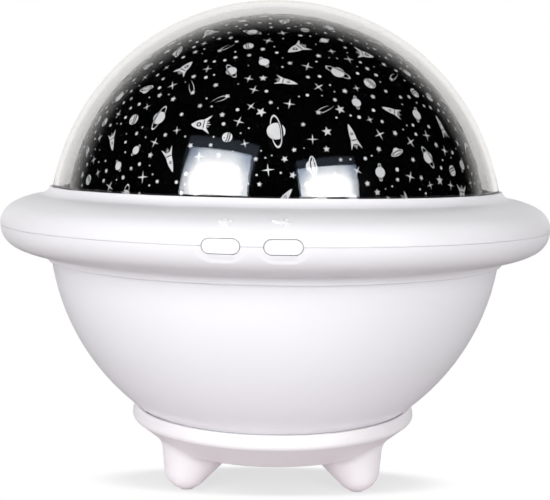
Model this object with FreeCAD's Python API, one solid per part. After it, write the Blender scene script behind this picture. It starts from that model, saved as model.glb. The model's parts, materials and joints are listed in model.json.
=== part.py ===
"""Star projector night light: a saucer lamp on three feet with a turning star film under a clear dome.

Millimetres, +Z up. The origin is on the floor in the middle of the three feet, and the front is -Y.
"""
import FreeCAD, Part
import math
import os

# Globe: the milky bowl and the clear dome lie on one sphere. Its centre is this share of the radius
# above the bowl's floor
GLOBE_RADIUS = 62.3
GLOBE_RISE = 0.809
BOWL_WALL = 1.8
DOME_WALL = 1.2
CABLE_HOLE_RADIUS = 4.0

# Base collar: a flat floor, a rounded edge, a cone of the given slope, then tangent arcs round the rim.
# The edge's radius is a share of the globe's
BASE_FLOOR_Z = 11.3
BASE_HEIGHT = 9.7
BASE_EDGE_SHARE = 0.4815
BASE_EDGE_ROUND = 2.0
BASE_SLOPE = 39.0
BASE_SLOPE_LENGTH = 10.2
BASE_RIM_TURNS = ((1.4, 55.0), (8.0, 18.0), (0.35, 60.0))
BASE_WALL = 2.0

# Feet: round-tipped cones that lean outwards, blended into the collar
FOOT_ANGLES = (-150.0, -30.0, 90.0)
FOOT_SETBACK = 3.0
FOOT_TIP_RADIUS = 6.2
FOOT_FLARE = 26.0
FOOT_LEAN = 23.0
FOOT_BLEND = 4.0
FOOT_SOLE_Z = 0.3
PAD_RADIUS = 1.8
PAD_HEIGHT = 1.1
PAD_POCKET = 0.8

# Screw bosses of the base and the flat cell between them
BASE_SCREW_SETBACK = 4.6
BASE_BOSS_RADIUS = 4.4
BOWL_BOSS_RADIUS = 3.2
BOWL_BOSS_HEIGHT = 6.5
CELL_HEIGHT = 6.0
CELL_SHIFT = -3.0
CELL_ROUND = 1.2
FENCE_WALL = 1.2

# Saucer ring: tangent arcs from the rim inwards, each a radius as a share of the overhang and a turn
RING_OVERHANG = 12.7
PARTING_RAISE = 1.4
UPPER_SHAPE = ((0.4646, 59.0), (1.3339, 25.41), (0.2756, -62.41))
LOWER_SHAPE = ((0.4961, 62.0), (1.2575, 25.52), (0.1969, -77.52))
RING_WALL = 2.0
PARTING_CHAMFER = 0.17
TONGUE_DEPTH = 1.2
TONGUE_WALL = 0.9
LIP_WALL = 1.6

# The dome's edge, the ledge it stands on and the bowl's flange, all measured from the parting line
DOME_SEAM_SHARE = 0.803
LEDGE_RAISE = 6.2
LEDGE_THICKNESS = 1.6
FLANGE_DROP = 6.0
FLANGE_WIDTH = 1.9
FLANGE_HEIGHT = 1.8

# Buttons, a parallel pair on the parting line at the front, each in a shallow dish
FRONT_ANGLE = -93.8
BUTTON_PITCH = 13.5
BUTTON_WIDTH = 8.25
BUTTON_HEIGHT = 3.25
BUTTON_GAP = 0.15
BUTTON_FLANGE = 0.75
BUTTON_DEPTH = 4.0
BUTTON_TRAVEL = 0.6
DISH_WIDTH = 10.3
DISH_HEIGHT = 6.7
DISH_DEPTH = 0.25

# Tact switches and their upright board, whose height is a share of the ring's overhang
BOARD_THICKNESS = 1.2
SWITCH_SIZE = 6.0
SWITCH_DEPTH = 2.7
SWITCH_PLAY = 0.3
PLUNGER_RADIUS = 1.7
SWITCH_BOARD_SHARE = 0.6
RAIL_WALL = 1.6

# Charging socket at the rear
USB_WIDTH = 8.9
USB_HEIGHT = 3.2
USB_LENGTH = 7.3
USB_WALL = 0.3
USB_SETBACK = 1.3
USB_TONGUE = (6.6, 0.7)
USB_ANGLE = 90.0
USB_BOARD_WIDTH = 18.8
USB_BOARD_SETBACK = 4.4
USB_SCREW_SETBACK = 2.0
USB_SCREW_INSET = 2.4
USB_POST_RADIUS = 2.2

# Main board in the bowl
MAIN_BOARD_LIFT = 5.0
BOARD_POST_RADIUS = 2.6
BOARD_SCREW_ANGLES = (30.0, 150.0, 270.0)
BOARD_SCREW_SETBACK = 3.5
NIGHT_LEDS = 6
LED_SIZE = 5.0
CHIP_HEIGHT = 1.6
CONTROLLER_SIZE = (6.0, 5.0)
DRIVER_SIZE = (5.0, 4.0)
CHIP_SHIFTS = (4.5, -1.5)
PLUG_SIZE = (5.2, 4.5, 5.0)
PLUG_PITCH = 8.0

# Deck on the bowl's flange, with the lamp post
DECK_THICKNESS = 2.0
DECK_SCREW_ANGLES = (45.0, 135.0, 225.0, 315.0)
DECK_EAR = 2.7
EAR_ROOT = 8.0
POST_RADIUS = 12.0
POST_WALL = 2.0
POST_RAISE = 1.0
LAMP_SCREW_SETBACK = 4.8
LAMP_CHIP = 3.2
LAMP_CHIP_HEIGHT = 1.3

# Drive: the gear module and the motor follow the globe's radius
PINION_TEETH = 14
GEAR_RATIO = 5
PRESSURE_ANGLE = math.radians(20.0)
GEAR_ADDENDUM = 0.8
GEAR_DEDENDUM = 1.05
GEAR_BACKLASH = 0.14
GEAR_FACE = 3.6
GEAR_RIM = 2.4
GEAR_DROP = 0.8
MOTOR_ANGLE = 30.0
MOTOR_SHARE = 0.2247
MOTOR_HEIGHT = 14.5
MOTOR_SHAFT_OFFSET = 6.0
MOTOR_EAR_REACH = 3.5
MOTOR_EAR_RADIUS = 3.2
MOTOR_PLATE = 0.8
MOTOR_LUG = (15.0, 1.0)
SHAFT_RADIUS = 2.5
SHAFT_BOSS_RADIUS = 4.5
PINION_HUB_RADIUS = 4.0

# Turntable: a web with its hub on the lamp post, and the film clipped at its rim
WASHER_THICKNESS = 1.0
HUB_WALL = 2.4
TURNTABLE_MARGIN = 1.0
WEB_THICKNESS = 1.5
WEB_DROP = 0.5
TURNTABLE_RIBS = 8
RIB_HEIGHT = 1.6
FENCE_RING_WALL = 1.2
FILM_CLEARANCE = 4.4
FILM_RAISE = 0.8
FILM_WALL = 0.4
FILM_GRIP = 2.0

# Fits
FIT = 0.3
SEAM = 0.15
RUNNING = 0.08
SCREW_HOLE = 0.2
THREAD_HOLE = 0.05

# Fasteners: shank radius, head radius, head height
SMALL_SCREW = (1.2, 2.1, 1.4)
BASE_SCREW = (1.5, 2.7, 1.9)
SCREW_SLOT = (0.5, 0.6)
DECK_THREAD = 2.0
POST_THREAD = 1.6

# Heights that follow from the sizes above
BASE_INNER_Z = BASE_FLOOR_Z + BASE_WALL
BASE_SEAT_Z = BASE_INNER_Z + BASE_WALL
BOWL_FLOOR_Z = BASE_FLOOR_Z + BASE_HEIGHT
BOWL_INNER_Z = BOWL_FLOOR_Z + BOWL_WALL
MAIN_BOARD_Z = BOWL_INNER_Z + MAIN_BOARD_LIFT
MAIN_BOARD_TOP_Z = MAIN_BOARD_Z + BOARD_THICKNESS
GLOBE_Z = BOWL_FLOOR_Z + GLOBE_RISE * GLOBE_RADIUS
PARTING_Z = GLOBE_Z + PARTING_RAISE
BOWL_FLANGE_Z = PARTING_Z - FLANGE_DROP
DECK_Z = BOWL_FLANGE_Z + FLANGE_HEIGHT
DECK_TOP_Z = DECK_Z + DECK_THICKNESS
HUB_Z = DECK_TOP_Z + WASHER_THICKNESS
LEDGE_Z = PARTING_Z + LEDGE_RAISE
DOME_SEAM_Z = PARTING_Z + DOME_SEAM_SHARE * RING_OVERHANG
WEB_TOP_Z = LEDGE_Z - WEB_DROP
WEB_Z = WEB_TOP_Z - WEB_THICKNESS
GEAR_Z = WEB_Z - GEAR_DROP - GEAR_FACE
GEAR_TOP_Z = GEAR_Z + GEAR_FACE
POST_TOP_Z = LEDGE_Z + POST_RAISE
LAMP_BOARD_TOP_Z = POST_TOP_Z + BOARD_THICKNESS
FILM_Z = GLOBE_Z + FILM_RAISE
USB_BOARD_Z = PARTING_Z - USB_HEIGHT / 2 - BOARD_THICKNESS

# Distances from the axis that follow from the sizes above
RING_RADIUS = GLOBE_RADIUS + RING_OVERHANG
OUTSIDE = RING_RADIUS + RING_OVERHANG
LIP_RADIUS = GLOBE_RADIUS + 2 * RUNNING
DOME_SEAM_RADIUS = math.sqrt(GLOBE_RADIUS ** 2 - (DOME_SEAM_Z - GLOBE_Z) ** 2)
SOCKET_RADIUS = DOME_SEAM_RADIUS + FIT
FLANGE_RADIUS = GLOBE_RADIUS + FLANGE_WIDTH
DECK_SCREW_CIRCLE = FLANGE_RADIUS + DECK_EAR + THREAD_HOLE
FILM_RADIUS = GLOBE_RADIUS - FILM_CLEARANCE
TURNTABLE_RADIUS = FILM_RADIUS + TURNTABLE_MARGIN
LEDGE_RADIUS = TURNTABLE_RADIUS + 2 * FIT
BUTTON_BACK = RING_RADIUS - BUTTON_DEPTH
SWITCH_BOARD_FACE = BUTTON_BACK - BUTTON_TRAVEL - SWITCH_PLAY - SWITCH_DEPTH
SWITCH_BOARD_WIDTH = 2 * BUTTON_PITCH + RAIL_WALL
SWITCH_BOARD_HEIGHT = SWITCH_BOARD_SHARE * RING_OVERHANG
USB_MOUTH = RING_RADIUS - USB_SETBACK
USB_BOARD_NEAR = FLANGE_RADIUS + 2 * FIT
USB_BOARD_FAR = RING_RADIUS - USB_BOARD_SETBACK
USB_SCREW_X = USB_BOARD_FAR - USB_SCREW_SETBACK
USB_SCREW_SIDE = USB_BOARD_WIDTH / 2 - USB_SCREW_INSET
BASE_EDGE_RADIUS = BASE_EDGE_SHARE * GLOBE_RADIUS
FOOT_CIRCLE = BASE_EDGE_RADIUS - FOOT_SETBACK
BASE_SCREW_CIRCLE = BASE_EDGE_RADIUS - BASE_SCREW_SETBACK
CELL_SIZE = (1.5 * BASE_SCREW_CIRCLE, 0.87 * BASE_SCREW_CIRCLE, CELL_HEIGHT)
MAIN_BOARD_RADIUS = BASE_SCREW_CIRCLE - BOWL_BOSS_RADIUS - 2 * FIT
BOARD_SCREW_CIRCLE = MAIN_BOARD_RADIUS - BOARD_SCREW_SETBACK
LAMP_SCREW_SIDE = POST_RADIUS - LAMP_SCREW_SETBACK
GEAR_TEETH = GEAR_RATIO * PINION_TEETH
GEAR_MODULE = round(GLOBE_RADIUS / 78.0, 2)
PITCH_GEAR = GEAR_MODULE * GEAR_TEETH / 2
PITCH_PINION = GEAR_MODULE * PINION_TEETH / 2
SHAFT_DISTANCE = PITCH_GEAR + PITCH_PINION
MOTOR_RADIUS = MOTOR_SHARE * GLOBE_RADIUS
MOTOR_REACH = SHAFT_DISTANCE + MOTOR_RADIUS - MOTOR_SHAFT_OFFSET
MOTOR_EAR_SIDE = MOTOR_RADIUS + MOTOR_EAR_REACH

VERTICAL = FreeCAD.Vector(0, 0, 1)
OUTWARD = FreeCAD.Vector(1, 0, 0)
ORIGIN = FreeCAD.Vector(0, 0, 0)


# ---------------------------------------------------------------- drawing helpers

def point(r, z):
    """A point of a turned profile: distance from the axis, and height."""
    return FreeCAD.Vector(r, 0, z)


def arc_chain(start, heading, turns, inset=0.0, side=1):
    """Tangent arcs from a start point; a positive turn bends inwards, an inset shrinks the outline.

    side is -1 to mirror the chain downwards. Returns the edges and the end point.
    """
    angle = math.radians(heading)
    r = start[0] - inset * math.sin(angle)
    z = start[1] + side * inset * math.cos(angle)
    edges = []
    for radius, turn in turns:
        sign = 1 if turn > 0 else -1
        bend = radius - sign * inset
        centre_r = r - sign * bend * math.sin(angle)
        centre_z = z + side * sign * bend * math.cos(angle)
        places = []
        for share in (0.0, 0.5, 1.0):
            at = angle + math.radians(turn) * share
            places.append(point(centre_r + sign * bend * math.sin(at),
                                centre_z - side * sign * bend * math.cos(at)))
        edges.append(Part.Arc(*places).toShape())
        angle += math.radians(turn)
        r, z = places[-1].x, places[-1].z
    return edges, (r, z)


def lines(*corners):
    """Straight edges through (r, z) corners."""
    return [Part.makeLine(point(*a), point(*b)) for a, b in zip(corners, corners[1:])]


def turned(edges):
    """The solid swept by a closed profile turned round the axis."""
    wire = Part.Wire(Part.__sortEdges__(edges))
    return Part.Face(wire).revolve(ORIGIN, VERTICAL, 360)


def turned_polygon(*corners):
    """The solid swept by a closed polygon of (r, z) corners."""
    return turned(lines(*corners, corners[0]))


def cylinder(radius, bottom, top, x=0.0, y=0.0):
    """An upright cylinder between two heights."""
    return Part.makeCylinder(radius, top - bottom, FreeCAD.Vector(x, y, bottom))


def rod(radius, near, far, side=0.0):
    """A cylinder along +X from near to far, level with the parting line."""
    return Part.makeCylinder(radius, far - near, FreeCAD.Vector(near, side, PARTING_Z), OUTWARD)


def tube(outer, inner, bottom, top):
    """An upright tube on the axis."""
    return cylinder(outer, bottom, top).cut(cylinder(inner, bottom, top))


def box(x_range, y_range, z_range):
    """A box from three (low, high) ranges."""
    size = [b - a for a, b in (x_range, y_range, z_range)]
    return Part.makeBox(*size, FreeCAD.Vector(x_range[0], y_range[0], z_range[0]))


def span(width, middle=0.0):
    """The (low, high) range of a width about its middle."""
    return middle - width / 2, middle + width / 2


def spun(shape, angle):
    """A copy turned about the axis; at 0 degrees it points along +X."""
    copy = shape.copy()
    copy.rotate(ORIGIN, VERTICAL, angle)
    return copy


def on_circle(radius, angle):
    """The (x, y) place at an angle in degrees on a circle round the axis."""
    return radius * math.cos(math.radians(angle)), radius * math.sin(math.radians(angle))


def group(shapes):
    """Loose solids that are one node."""
    return Part.makeCompound(list(shapes))


def stadium(width, height, near, far, side=0.0):
    """A bar of stadium section along +X from near to far, level with the parting line."""
    bar = box((near, far), span(width - height, side), span(height, PARTING_Z))
    for y in span(width - height, side):
        bar = bar.fuse(rod(height / 2, near, far, y))
    return bar.removeSplitter()


def screw(x, y, seat, length, sizes, downward=True):
    """A pan-head screw whose head rests on the seat height."""
    shank, head, head_height = sizes
    step = -1 if downward else 1
    tip = seat + step * length
    top = seat - step * head_height
    floor = top + step * SCREW_SLOT[1]
    body = cylinder(shank, min(seat, tip), max(seat, tip), x, y)
    body = body.fuse(cylinder(head, min(seat, top), max(seat, top), x, y))
    slot = box(span(2 * head, x), span(SCREW_SLOT[0], y), (min(top, floor), max(top, floor)))
    return body.cut(slot)


def sphere_radius_at(radius, centre_z, z):
    """Distance of a sphere from the axis at a height."""
    return math.sqrt(radius ** 2 - (z - centre_z) ** 2)


def sphere_arc(radius, centre_z, z_from, z_to):
    """An arc of a sphere's section between two heights, or up to the axis if z_to is None."""
    start = math.asin((z_from - centre_z) / radius)
    end = math.pi / 2 if z_to is None else math.asin((z_to - centre_z) / radius)
    places = []
    for share in (0.0, 0.5, 1.0):
        angle = start + (end - start) * share
        places.append(point(radius * math.cos(angle), centre_z + radius * math.sin(angle)))
    return Part.Arc(*places).toShape()


# ---------------------------------------------------------------- base

def foot(inset=0.0, bottom=FOOT_SOLE_Z):
    """A leaning cone with a ball tip, at +X; an inset gives the hollow inside it."""
    flare = math.radians(FOOT_FLARE)
    ball = FOOT_TIP_RADIUS - inset
    reach = 2 * BASE_FLOOR_Z
    tangent = (ball * math.cos(flare), -ball * math.sin(flare))
    top = (tangent[0] + (reach - tangent[1]) * math.tan(flare), reach)
    middle = -(math.pi / 2 + flare) / 2
    half_way = point(ball * math.cos(middle), ball * math.sin(middle))
    tip = Part.Arc(point(0.0, -ball), half_way, point(*tangent)).toShape()
    shape = turned([tip] + lines(tangent, top, (0.0, reach), (0.0, -ball)))
    shape.rotate(ORIGIN, FreeCAD.Vector(0, 1, 0), -FOOT_LEAN)
    shape.translate(FreeCAD.Vector(FOOT_CIRCLE, 0, FOOT_TIP_RADIUS))
    return shape.common(cylinder(RING_RADIUS, bottom, (BASE_INNER_Z + BASE_SEAT_Z) / 2))


def collar():
    """The collar as a turned solid, and the two ends of its sloping side."""
    edge = (BASE_EDGE_RADIUS, BASE_FLOOR_Z)
    slope = math.radians(BASE_SLOPE)
    round_edge, low = arc_chain(edge, 0.0, ((BASE_EDGE_ROUND, BASE_SLOPE),))
    high = (low[0] + BASE_SLOPE_LENGTH * math.cos(slope), low[1] + BASE_SLOPE_LENGTH * math.sin(slope))
    rim, top = arc_chain(high, BASE_SLOPE, BASE_RIM_TURNS)
    closing = lines(top, (0.0, top[1]), (0.0, BASE_FLOOR_Z), edge)
    return turned(round_edge + lines(low, high) + rim + closing), low, high


def collar_hollow(low, high):
    """The room inside the collar, one wall inside its sloping side and its floor."""
    slope = math.radians(BASE_SLOPE)
    across = BASE_WALL * math.sin(slope)
    rise = BASE_WALL * math.cos(slope)
    shoulder = (high[0] - across, high[1] + rise)
    foot_r = low[0] - across - (low[1] + rise - BASE_INNER_Z) / math.tan(slope)
    return turned_polygon((0.0, BASE_INNER_Z), (foot_r, BASE_INNER_Z), shoulder, (shoulder[0], GLOBE_Z),
                          (0.0, GLOBE_Z))


def blended(shape):
    """Round the corners where the feet run into the collar."""
    corners = []
    for edge in shape.Edges:
        faces = shape.ancestorsOfType(edge, Part.Face)
        of_foot = [face.Surface.isDerivedFrom("Part::GeomCone") and face.CenterOfMass.z < BASE_FLOOR_Z
                   for face in faces]
        if any(of_foot) and not all(of_foot) and edge.BoundBox.ZMin > BASE_FLOOR_Z - FIT:
            corners.append(edge)
    return shape.makeFillet(FOOT_BLEND, corners)


def base_screw_places():
    """The base screws stand half way between the feet."""
    return [on_circle(BASE_SCREW_CIRCLE, angle + 60.0) for angle in FOOT_ANGLES]


def make_base():
    """Base moulding: collar with blended hollow feet, screw bosses and the fence for the cell."""
    shape, low, high = collar()
    for angle in FOOT_ANGLES:
        shape = shape.fuse(spun(foot(), angle))
    shape = blended(shape)
    globe = Part.makeSphere(GLOBE_RADIUS + SEAM, FreeCAD.Vector(0, 0, GLOBE_Z))
    seat = globe.common(cylinder(GLOBE_RADIUS, BOWL_FLOOR_Z, GLOBE_Z))
    shape = shape.cut(collar_hollow(low, high)).cut(seat)
    pocket_z = FOOT_SOLE_Z + PAD_POCKET
    for angle in FOOT_ANGLES:
        x, y = on_circle(FOOT_CIRCLE, angle)
        shape = shape.cut(spun(foot(BASE_WALL, pocket_z + BASE_WALL), angle))
        shape = shape.cut(cylinder(PAD_RADIUS + RUNNING, 0.0, pocket_z, x, y))
    for x, y in base_screw_places():
        shape = shape.fuse(cylinder(BASE_BOSS_RADIUS, BASE_FLOOR_Z + BASE_WALL / 4, BOWL_FLOOR_Z, x, y))
    for x, y in base_screw_places():
        shape = shape.cut(cylinder(BASE_SCREW[1] + FIT, 0.0, BASE_SEAT_Z, x, y))
        shape = shape.cut(cylinder(BASE_SCREW[0] + SCREW_HOLE, BASE_FLOOR_Z, BOWL_FLOOR_Z, x, y))
    return shape.fuse(cell_fence())


def cell_fence():
    """Low corner walls on the base floor that keep the cell in place."""
    length, width = CELL_SIZE[0] + 2 * FIT, CELL_SIZE[1] + 2 * FIT
    heights = (BASE_INNER_Z - BASE_WALL / 4, BASE_INNER_Z + CELL_HEIGHT / 2)
    outer = box(span(length + 2 * FENCE_WALL), span(width + 2 * FENCE_WALL, CELL_SHIFT), heights)
    inner = box(span(length), span(width, CELL_SHIFT), heights)
    middle = box(span(length / 2), span(2 * width, CELL_SHIFT), heights)
    sides = box(span(2 * length), span(width / 2, CELL_SHIFT), heights)
    return outer.cut(inner).cut(middle).cut(sides)


def make_foot_pads():
    """Three rubber pads pressed into the feet; the lamp stands on them."""
    places = [on_circle(FOOT_CIRCLE, angle) for angle in FOOT_ANGLES]
    return group(cylinder(PAD_RADIUS, 0.0, PAD_HEIGHT, x, y) for x, y in places)


def make_base_screws():
    """Screws up through the base into the bowl's bosses."""
    length = BOWL_INNER_Z + BOWL_BOSS_HEIGHT - BOWL_WALL / 2 - BASE_SEAT_Z
    return group(screw(x, y, BASE_SEAT_Z, length, BASE_SCREW, downward=False) for x, y in base_screw_places())


def make_battery_cell():
    """A flat pouch cell lying on the base floor."""
    length, width, height = CELL_SIZE
    cell = box(span(length), span(width, CELL_SHIFT), (BASE_INNER_Z, BASE_INNER_Z + height))
    return cell.makeFillet(CELL_ROUND, [edge for edge in cell.Edges if abs(edge.tangentAt(0).x) > 0.9])


# ---------------------------------------------------------------- bowl and its board

def make_bowl():
    """Milky bowl: sphere shell with a flat floor and a clamping flange at its top."""
    inner = GLOBE_RADIUS - BOWL_WALL
    foot_r = sphere_radius_at(GLOBE_RADIUS, GLOBE_Z, BOWL_FLOOR_Z)
    neck_r = sphere_radius_at(GLOBE_RADIUS, GLOBE_Z, BOWL_FLANGE_Z)
    mouth_r = sphere_radius_at(inner, GLOBE_Z, DECK_Z)
    floor_r = sphere_radius_at(inner, GLOBE_Z, BOWL_INNER_Z)
    edges = lines((0.0, BOWL_FLOOR_Z), (foot_r, BOWL_FLOOR_Z))
    edges.append(sphere_arc(GLOBE_RADIUS, GLOBE_Z, BOWL_FLOOR_Z, BOWL_FLANGE_Z))
    edges += lines((neck_r, BOWL_FLANGE_Z), (FLANGE_RADIUS, BOWL_FLANGE_Z), (FLANGE_RADIUS, DECK_Z),
                   (mouth_r, DECK_Z))
    edges.append(sphere_arc(inner, GLOBE_Z, BOWL_INNER_Z, DECK_Z))
    edges += lines((floor_r, BOWL_INNER_Z), (0.0, BOWL_INNER_Z), (0.0, BOWL_FLOOR_Z))
    shape = turned(edges)
    rooted = BOWL_INNER_Z - BOWL_WALL / 4
    boss_top = BOWL_INNER_Z + BOWL_BOSS_HEIGHT
    for x, y in base_screw_places():
        shape = shape.fuse(cylinder(BOWL_BOSS_RADIUS, rooted, boss_top, x, y))
        shape = shape.cut(cylinder(BASE_SCREW[0] + THREAD_HOLE, BOWL_FLOOR_Z, boss_top - BOWL_WALL / 2, x, y))
    for x, y in board_screw_places():
        shape = shape.fuse(cylinder(BOARD_POST_RADIUS, rooted, MAIN_BOARD_Z, x, y))
        shape = shape.cut(cylinder(SMALL_SCREW[0] + THREAD_HOLE, BOWL_INNER_Z, MAIN_BOARD_Z, x, y))
    return shape.cut(cylinder(CABLE_HOLE_RADIUS, BOWL_FLOOR_Z, BOWL_INNER_Z))


def board_screw_places():
    """Places of the three screws of the main board."""
    return [on_circle(BOARD_SCREW_CIRCLE, angle) for angle in BOARD_SCREW_ANGLES]


def make_main_board():
    """Round main board on the bowl's posts."""
    shape = cylinder(MAIN_BOARD_RADIUS, MAIN_BOARD_Z, MAIN_BOARD_TOP_Z)
    for x, y in board_screw_places():
        shape = shape.cut(cylinder(SMALL_SCREW[0] + SCREW_HOLE, MAIN_BOARD_Z, MAIN_BOARD_TOP_Z, x, y))
    return shape


def make_board_screws():
    """Screws of the main board."""
    length = BOARD_THICKNESS + MAIN_BOARD_LIFT - BOARD_THICKNESS - FIT
    return group(screw(x, y, MAIN_BOARD_TOP_Z, length, SMALL_SCREW) for x, y in board_screw_places())


def make_night_leds():
    """Ring of LEDs that lights the bowl."""
    heights = (MAIN_BOARD_TOP_Z, MAIN_BOARD_TOP_Z + CHIP_HEIGHT)
    led = box(span(LED_SIZE, BOARD_SCREW_CIRCLE), span(LED_SIZE), heights)
    return group(spun(led, number * 360.0 / NIGHT_LEDS) for number in range(NIGHT_LEDS))


def make_board_parts():
    """Controller, driver and the three lead connectors on the main board."""
    chip_heights = (MAIN_BOARD_TOP_Z, MAIN_BOARD_TOP_Z + CHIP_HEIGHT)
    chips = [box(span(length), span(width, shift), chip_heights)
             for (length, width), shift in zip((CONTROLLER_SIZE, DRIVER_SIZE), CHIP_SHIFTS)]
    plug_heights = (MAIN_BOARD_TOP_Z, MAIN_BOARD_TOP_Z + PLUG_SIZE[2])
    plugs = [box(span(PLUG_SIZE[0], x), span(PLUG_SIZE[1], -PLUG_PITCH), plug_heights)
             for x in (-PLUG_PITCH, 0.0, PLUG_PITCH)]
    return group(chips + plugs)


# ---------------------------------------------------------------- saucer ring

def ring_turns(shape):
    """The ring's arcs in millimetres from their shares of the overhang."""
    return [(share * RING_OVERHANG, turn) for share, turn in shape]


def rim_core(inset):
    """The rim of the saucer as a turned solid, shrunk by the inset."""
    start = (RING_RADIUS, PARTING_Z)
    upper, top = arc_chain(start, 90.0, ring_turns(UPPER_SHAPE[:1]), inset)
    lower, bottom = arc_chain(start, 90.0, ring_turns(LOWER_SHAPE[:1]), inset, side=-1)
    return turned(upper + lower + lines(top, (LIP_RADIUS, top[1]), (LIP_RADIUS, bottom[1]), bottom))


def button_sides():
    """Sideways places of the two buttons, the night light's on the left."""
    return span(BUTTON_PITCH)


def shell_cuts():
    """The button holes with their dishes and the socket's opening, as tools for both shells."""
    cuts = []
    wide, high = BUTTON_WIDTH + 2 * BUTTON_GAP, BUTTON_HEIGHT + 2 * BUTTON_GAP
    for side in button_sides():
        hole = stadium(wide, high, LIP_RADIUS, OUTSIDE, side)
        dish = stadium(DISH_WIDTH, DISH_HEIGHT, BUTTON_BACK, OUTSIDE, side)
        cuts.append(spun(hole, FRONT_ANGLE))
        cuts.append(spun(dish.cut(rim_core(DISH_DEPTH)), FRONT_ANGLE))
    opening = stadium(USB_WIDTH + 2 * FIT, USB_HEIGHT + 2 * FIT, BUTTON_BACK, OUTSIDE)
    cuts.append(spun(opening, USB_ANGLE))
    return cuts


def parting_step(start):
    """The shell's edge at the parting line, with the small chamfer that shows as a line."""
    inner = RING_RADIUS - RING_WALL
    return lines((inner, start[1]), (inner, PARTING_Z), (RING_RADIUS - PARTING_CHAMFER, PARTING_Z), start)


def make_upper_ring():
    """Upper shell with the lip round the dome, the ledge under it and the skirt down to the deck."""
    start = (RING_RADIUS, PARTING_Z + PARTING_CHAMFER)
    outer, lip = arc_chain(start, 90.0, ring_turns(UPPER_SHAPE))
    inner, shoulder = arc_chain(start, 90.0, ring_turns(UPPER_SHAPE[:2]), RING_WALL)
    under_ledge = LEDGE_Z - LEDGE_THICKNESS
    edges = parting_step(start) + outer + inner
    edges += lines(lip, (SOCKET_RADIUS, lip[1]), (SOCKET_RADIUS, LEDGE_Z), (LEDGE_RADIUS, LEDGE_Z),
                   (LEDGE_RADIUS, under_ledge), (SOCKET_RADIUS, under_ledge), (SOCKET_RADIUS, DECK_TOP_Z),
                   (SOCKET_RADIUS + LIP_WALL, DECK_TOP_Z), shoulder)
    shape = turned(edges).fuse(make_tongue())
    for cut in shell_cuts():
        shape = shape.cut(cut)
    return shape


def make_tongue():
    """Locating tongue that drops into the lower shell, left out behind the buttons and the socket."""
    outer = RING_RADIUS - RING_WALL - RUNNING
    tongue = tube(outer, outer - TONGUE_WALL, PARTING_Z - TONGUE_DEPTH, PARTING_Z + TONGUE_DEPTH)
    reach = (LIP_RADIUS, OUTSIDE)
    heights = span(RING_OVERHANG, PARTING_Z)
    front = box(reach, span(2 * BUTTON_PITCH), heights)
    rear = box(reach, span(2 * USB_WIDTH), heights)
    return tongue.cut(spun(front, FRONT_ANGLE)).cut(spun(rear, USB_ANGLE))


def make_lower_ring():
    """Lower shell with the ledge that carries the bowl, the deck bosses and the board rails."""
    start = (RING_RADIUS, PARTING_Z - PARTING_CHAMFER)
    outer, lip = arc_chain(start, 90.0, ring_turns(LOWER_SHAPE), side=-1)
    inner, shoulder = arc_chain(start, 90.0, ring_turns(LOWER_SHAPE[:2]), RING_WALL, side=-1)
    edges = parting_step(start) + outer + inner
    edges += lines(lip, (LIP_RADIUS, lip[1]), (LIP_RADIUS, BOWL_FLANGE_Z), (shoulder[0], BOWL_FLANGE_Z),
                   shoulder)
    shape = turned(edges)
    shape = shape.cut(cylinder(RING_RADIUS - RING_WALL, PARTING_Z - TONGUE_DEPTH - RUNNING, PARTING_Z))
    inside = lower_room()
    for x, y in deck_screw_places():
        shape = shape.fuse(cylinder(DECK_EAR, BOWL_FLANGE_Z, DECK_Z, x, y).common(inside))
        shape = shape.cut(cylinder(DECK_EAR + FIT, DECK_Z, PARTING_Z, x, y))
        shape = shape.cut(cylinder(SMALL_SCREW[0] + THREAD_HOLE, DECK_Z - DECK_THREAD, DECK_Z, x, y))
    thread = SMALL_SCREW[0] + THREAD_HOLE
    for side in (-USB_SCREW_SIDE, USB_SCREW_SIDE):
        post = cylinder(USB_POST_RADIUS, BOWL_FLANGE_Z, USB_BOARD_Z, USB_SCREW_X, side).common(inside)
        hole = cylinder(thread, USB_BOARD_Z - POST_THREAD, USB_BOARD_Z, USB_SCREW_X, side)
        shape = shape.fuse(spun(post, USB_ANGLE)).cut(spun(hole, USB_ANGLE))
    for rail in board_rails():
        shape = shape.fuse(spun(rail.common(inside), FRONT_ANGLE))
    for cut in shell_cuts():
        shape = shape.cut(cut)
    return shape


def lower_room():
    """The inside of the lower shell, a little into its wall, which trims what stands in it."""
    start = (RING_RADIUS, PARTING_Z)
    inset = 0.8 * RING_WALL
    near = FLANGE_RADIUS + RUNNING
    top = PARTING_Z + RING_OVERHANG / 2
    inner, shoulder = arc_chain(start, 90.0, ring_turns(LOWER_SHAPE[:2]), inset, side=-1)
    return turned(inner + lines((start[0] - inset, start[1]), (start[0] - inset, top), (near, top),
                                (near, shoulder[1]), shoulder))


def board_rails():
    """Two slotted rails that hold the upright switch board."""
    back = SWITCH_BOARD_FACE - BOARD_THICKNESS
    slot = box((back - RUNNING, SWITCH_BOARD_FACE + RUNNING), span(SWITCH_BOARD_WIDTH),
               (PARTING_Z - SWITCH_BOARD_HEIGHT / 2, PARTING_Z + RAIL_WALL))
    rails = []
    for side in span(SWITCH_BOARD_WIDTH):
        rail = box((back - RAIL_WALL / 2, SWITCH_BOARD_FACE + RAIL_WALL / 2), span(2 * RAIL_WALL, side),
                   (BOWL_FLANGE_Z, PARTING_Z + RAIL_WALL / 2))
        rails.append(rail.cut(slot))
    return rails


# ---------------------------------------------------------------- front and rear electrics

def make_button(side):
    """Button cap flush with the ring, with the flange that keeps it in."""
    cap = stadium(BUTTON_WIDTH, BUTTON_HEIGHT, BUTTON_BACK + BUTTON_TRAVEL, OUTSIDE, side)
    cap = cap.common(rim_core(0.0))
    wide, high = BUTTON_WIDTH + 2 * BUTTON_FLANGE, BUTTON_HEIGHT + 2 * BUTTON_FLANGE
    flange = stadium(wide, high, BUTTON_BACK, OUTSIDE, side).common(rim_core(RING_WALL + FIT))
    return spun(cap.fuse(flange), FRONT_ANGLE)


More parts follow.
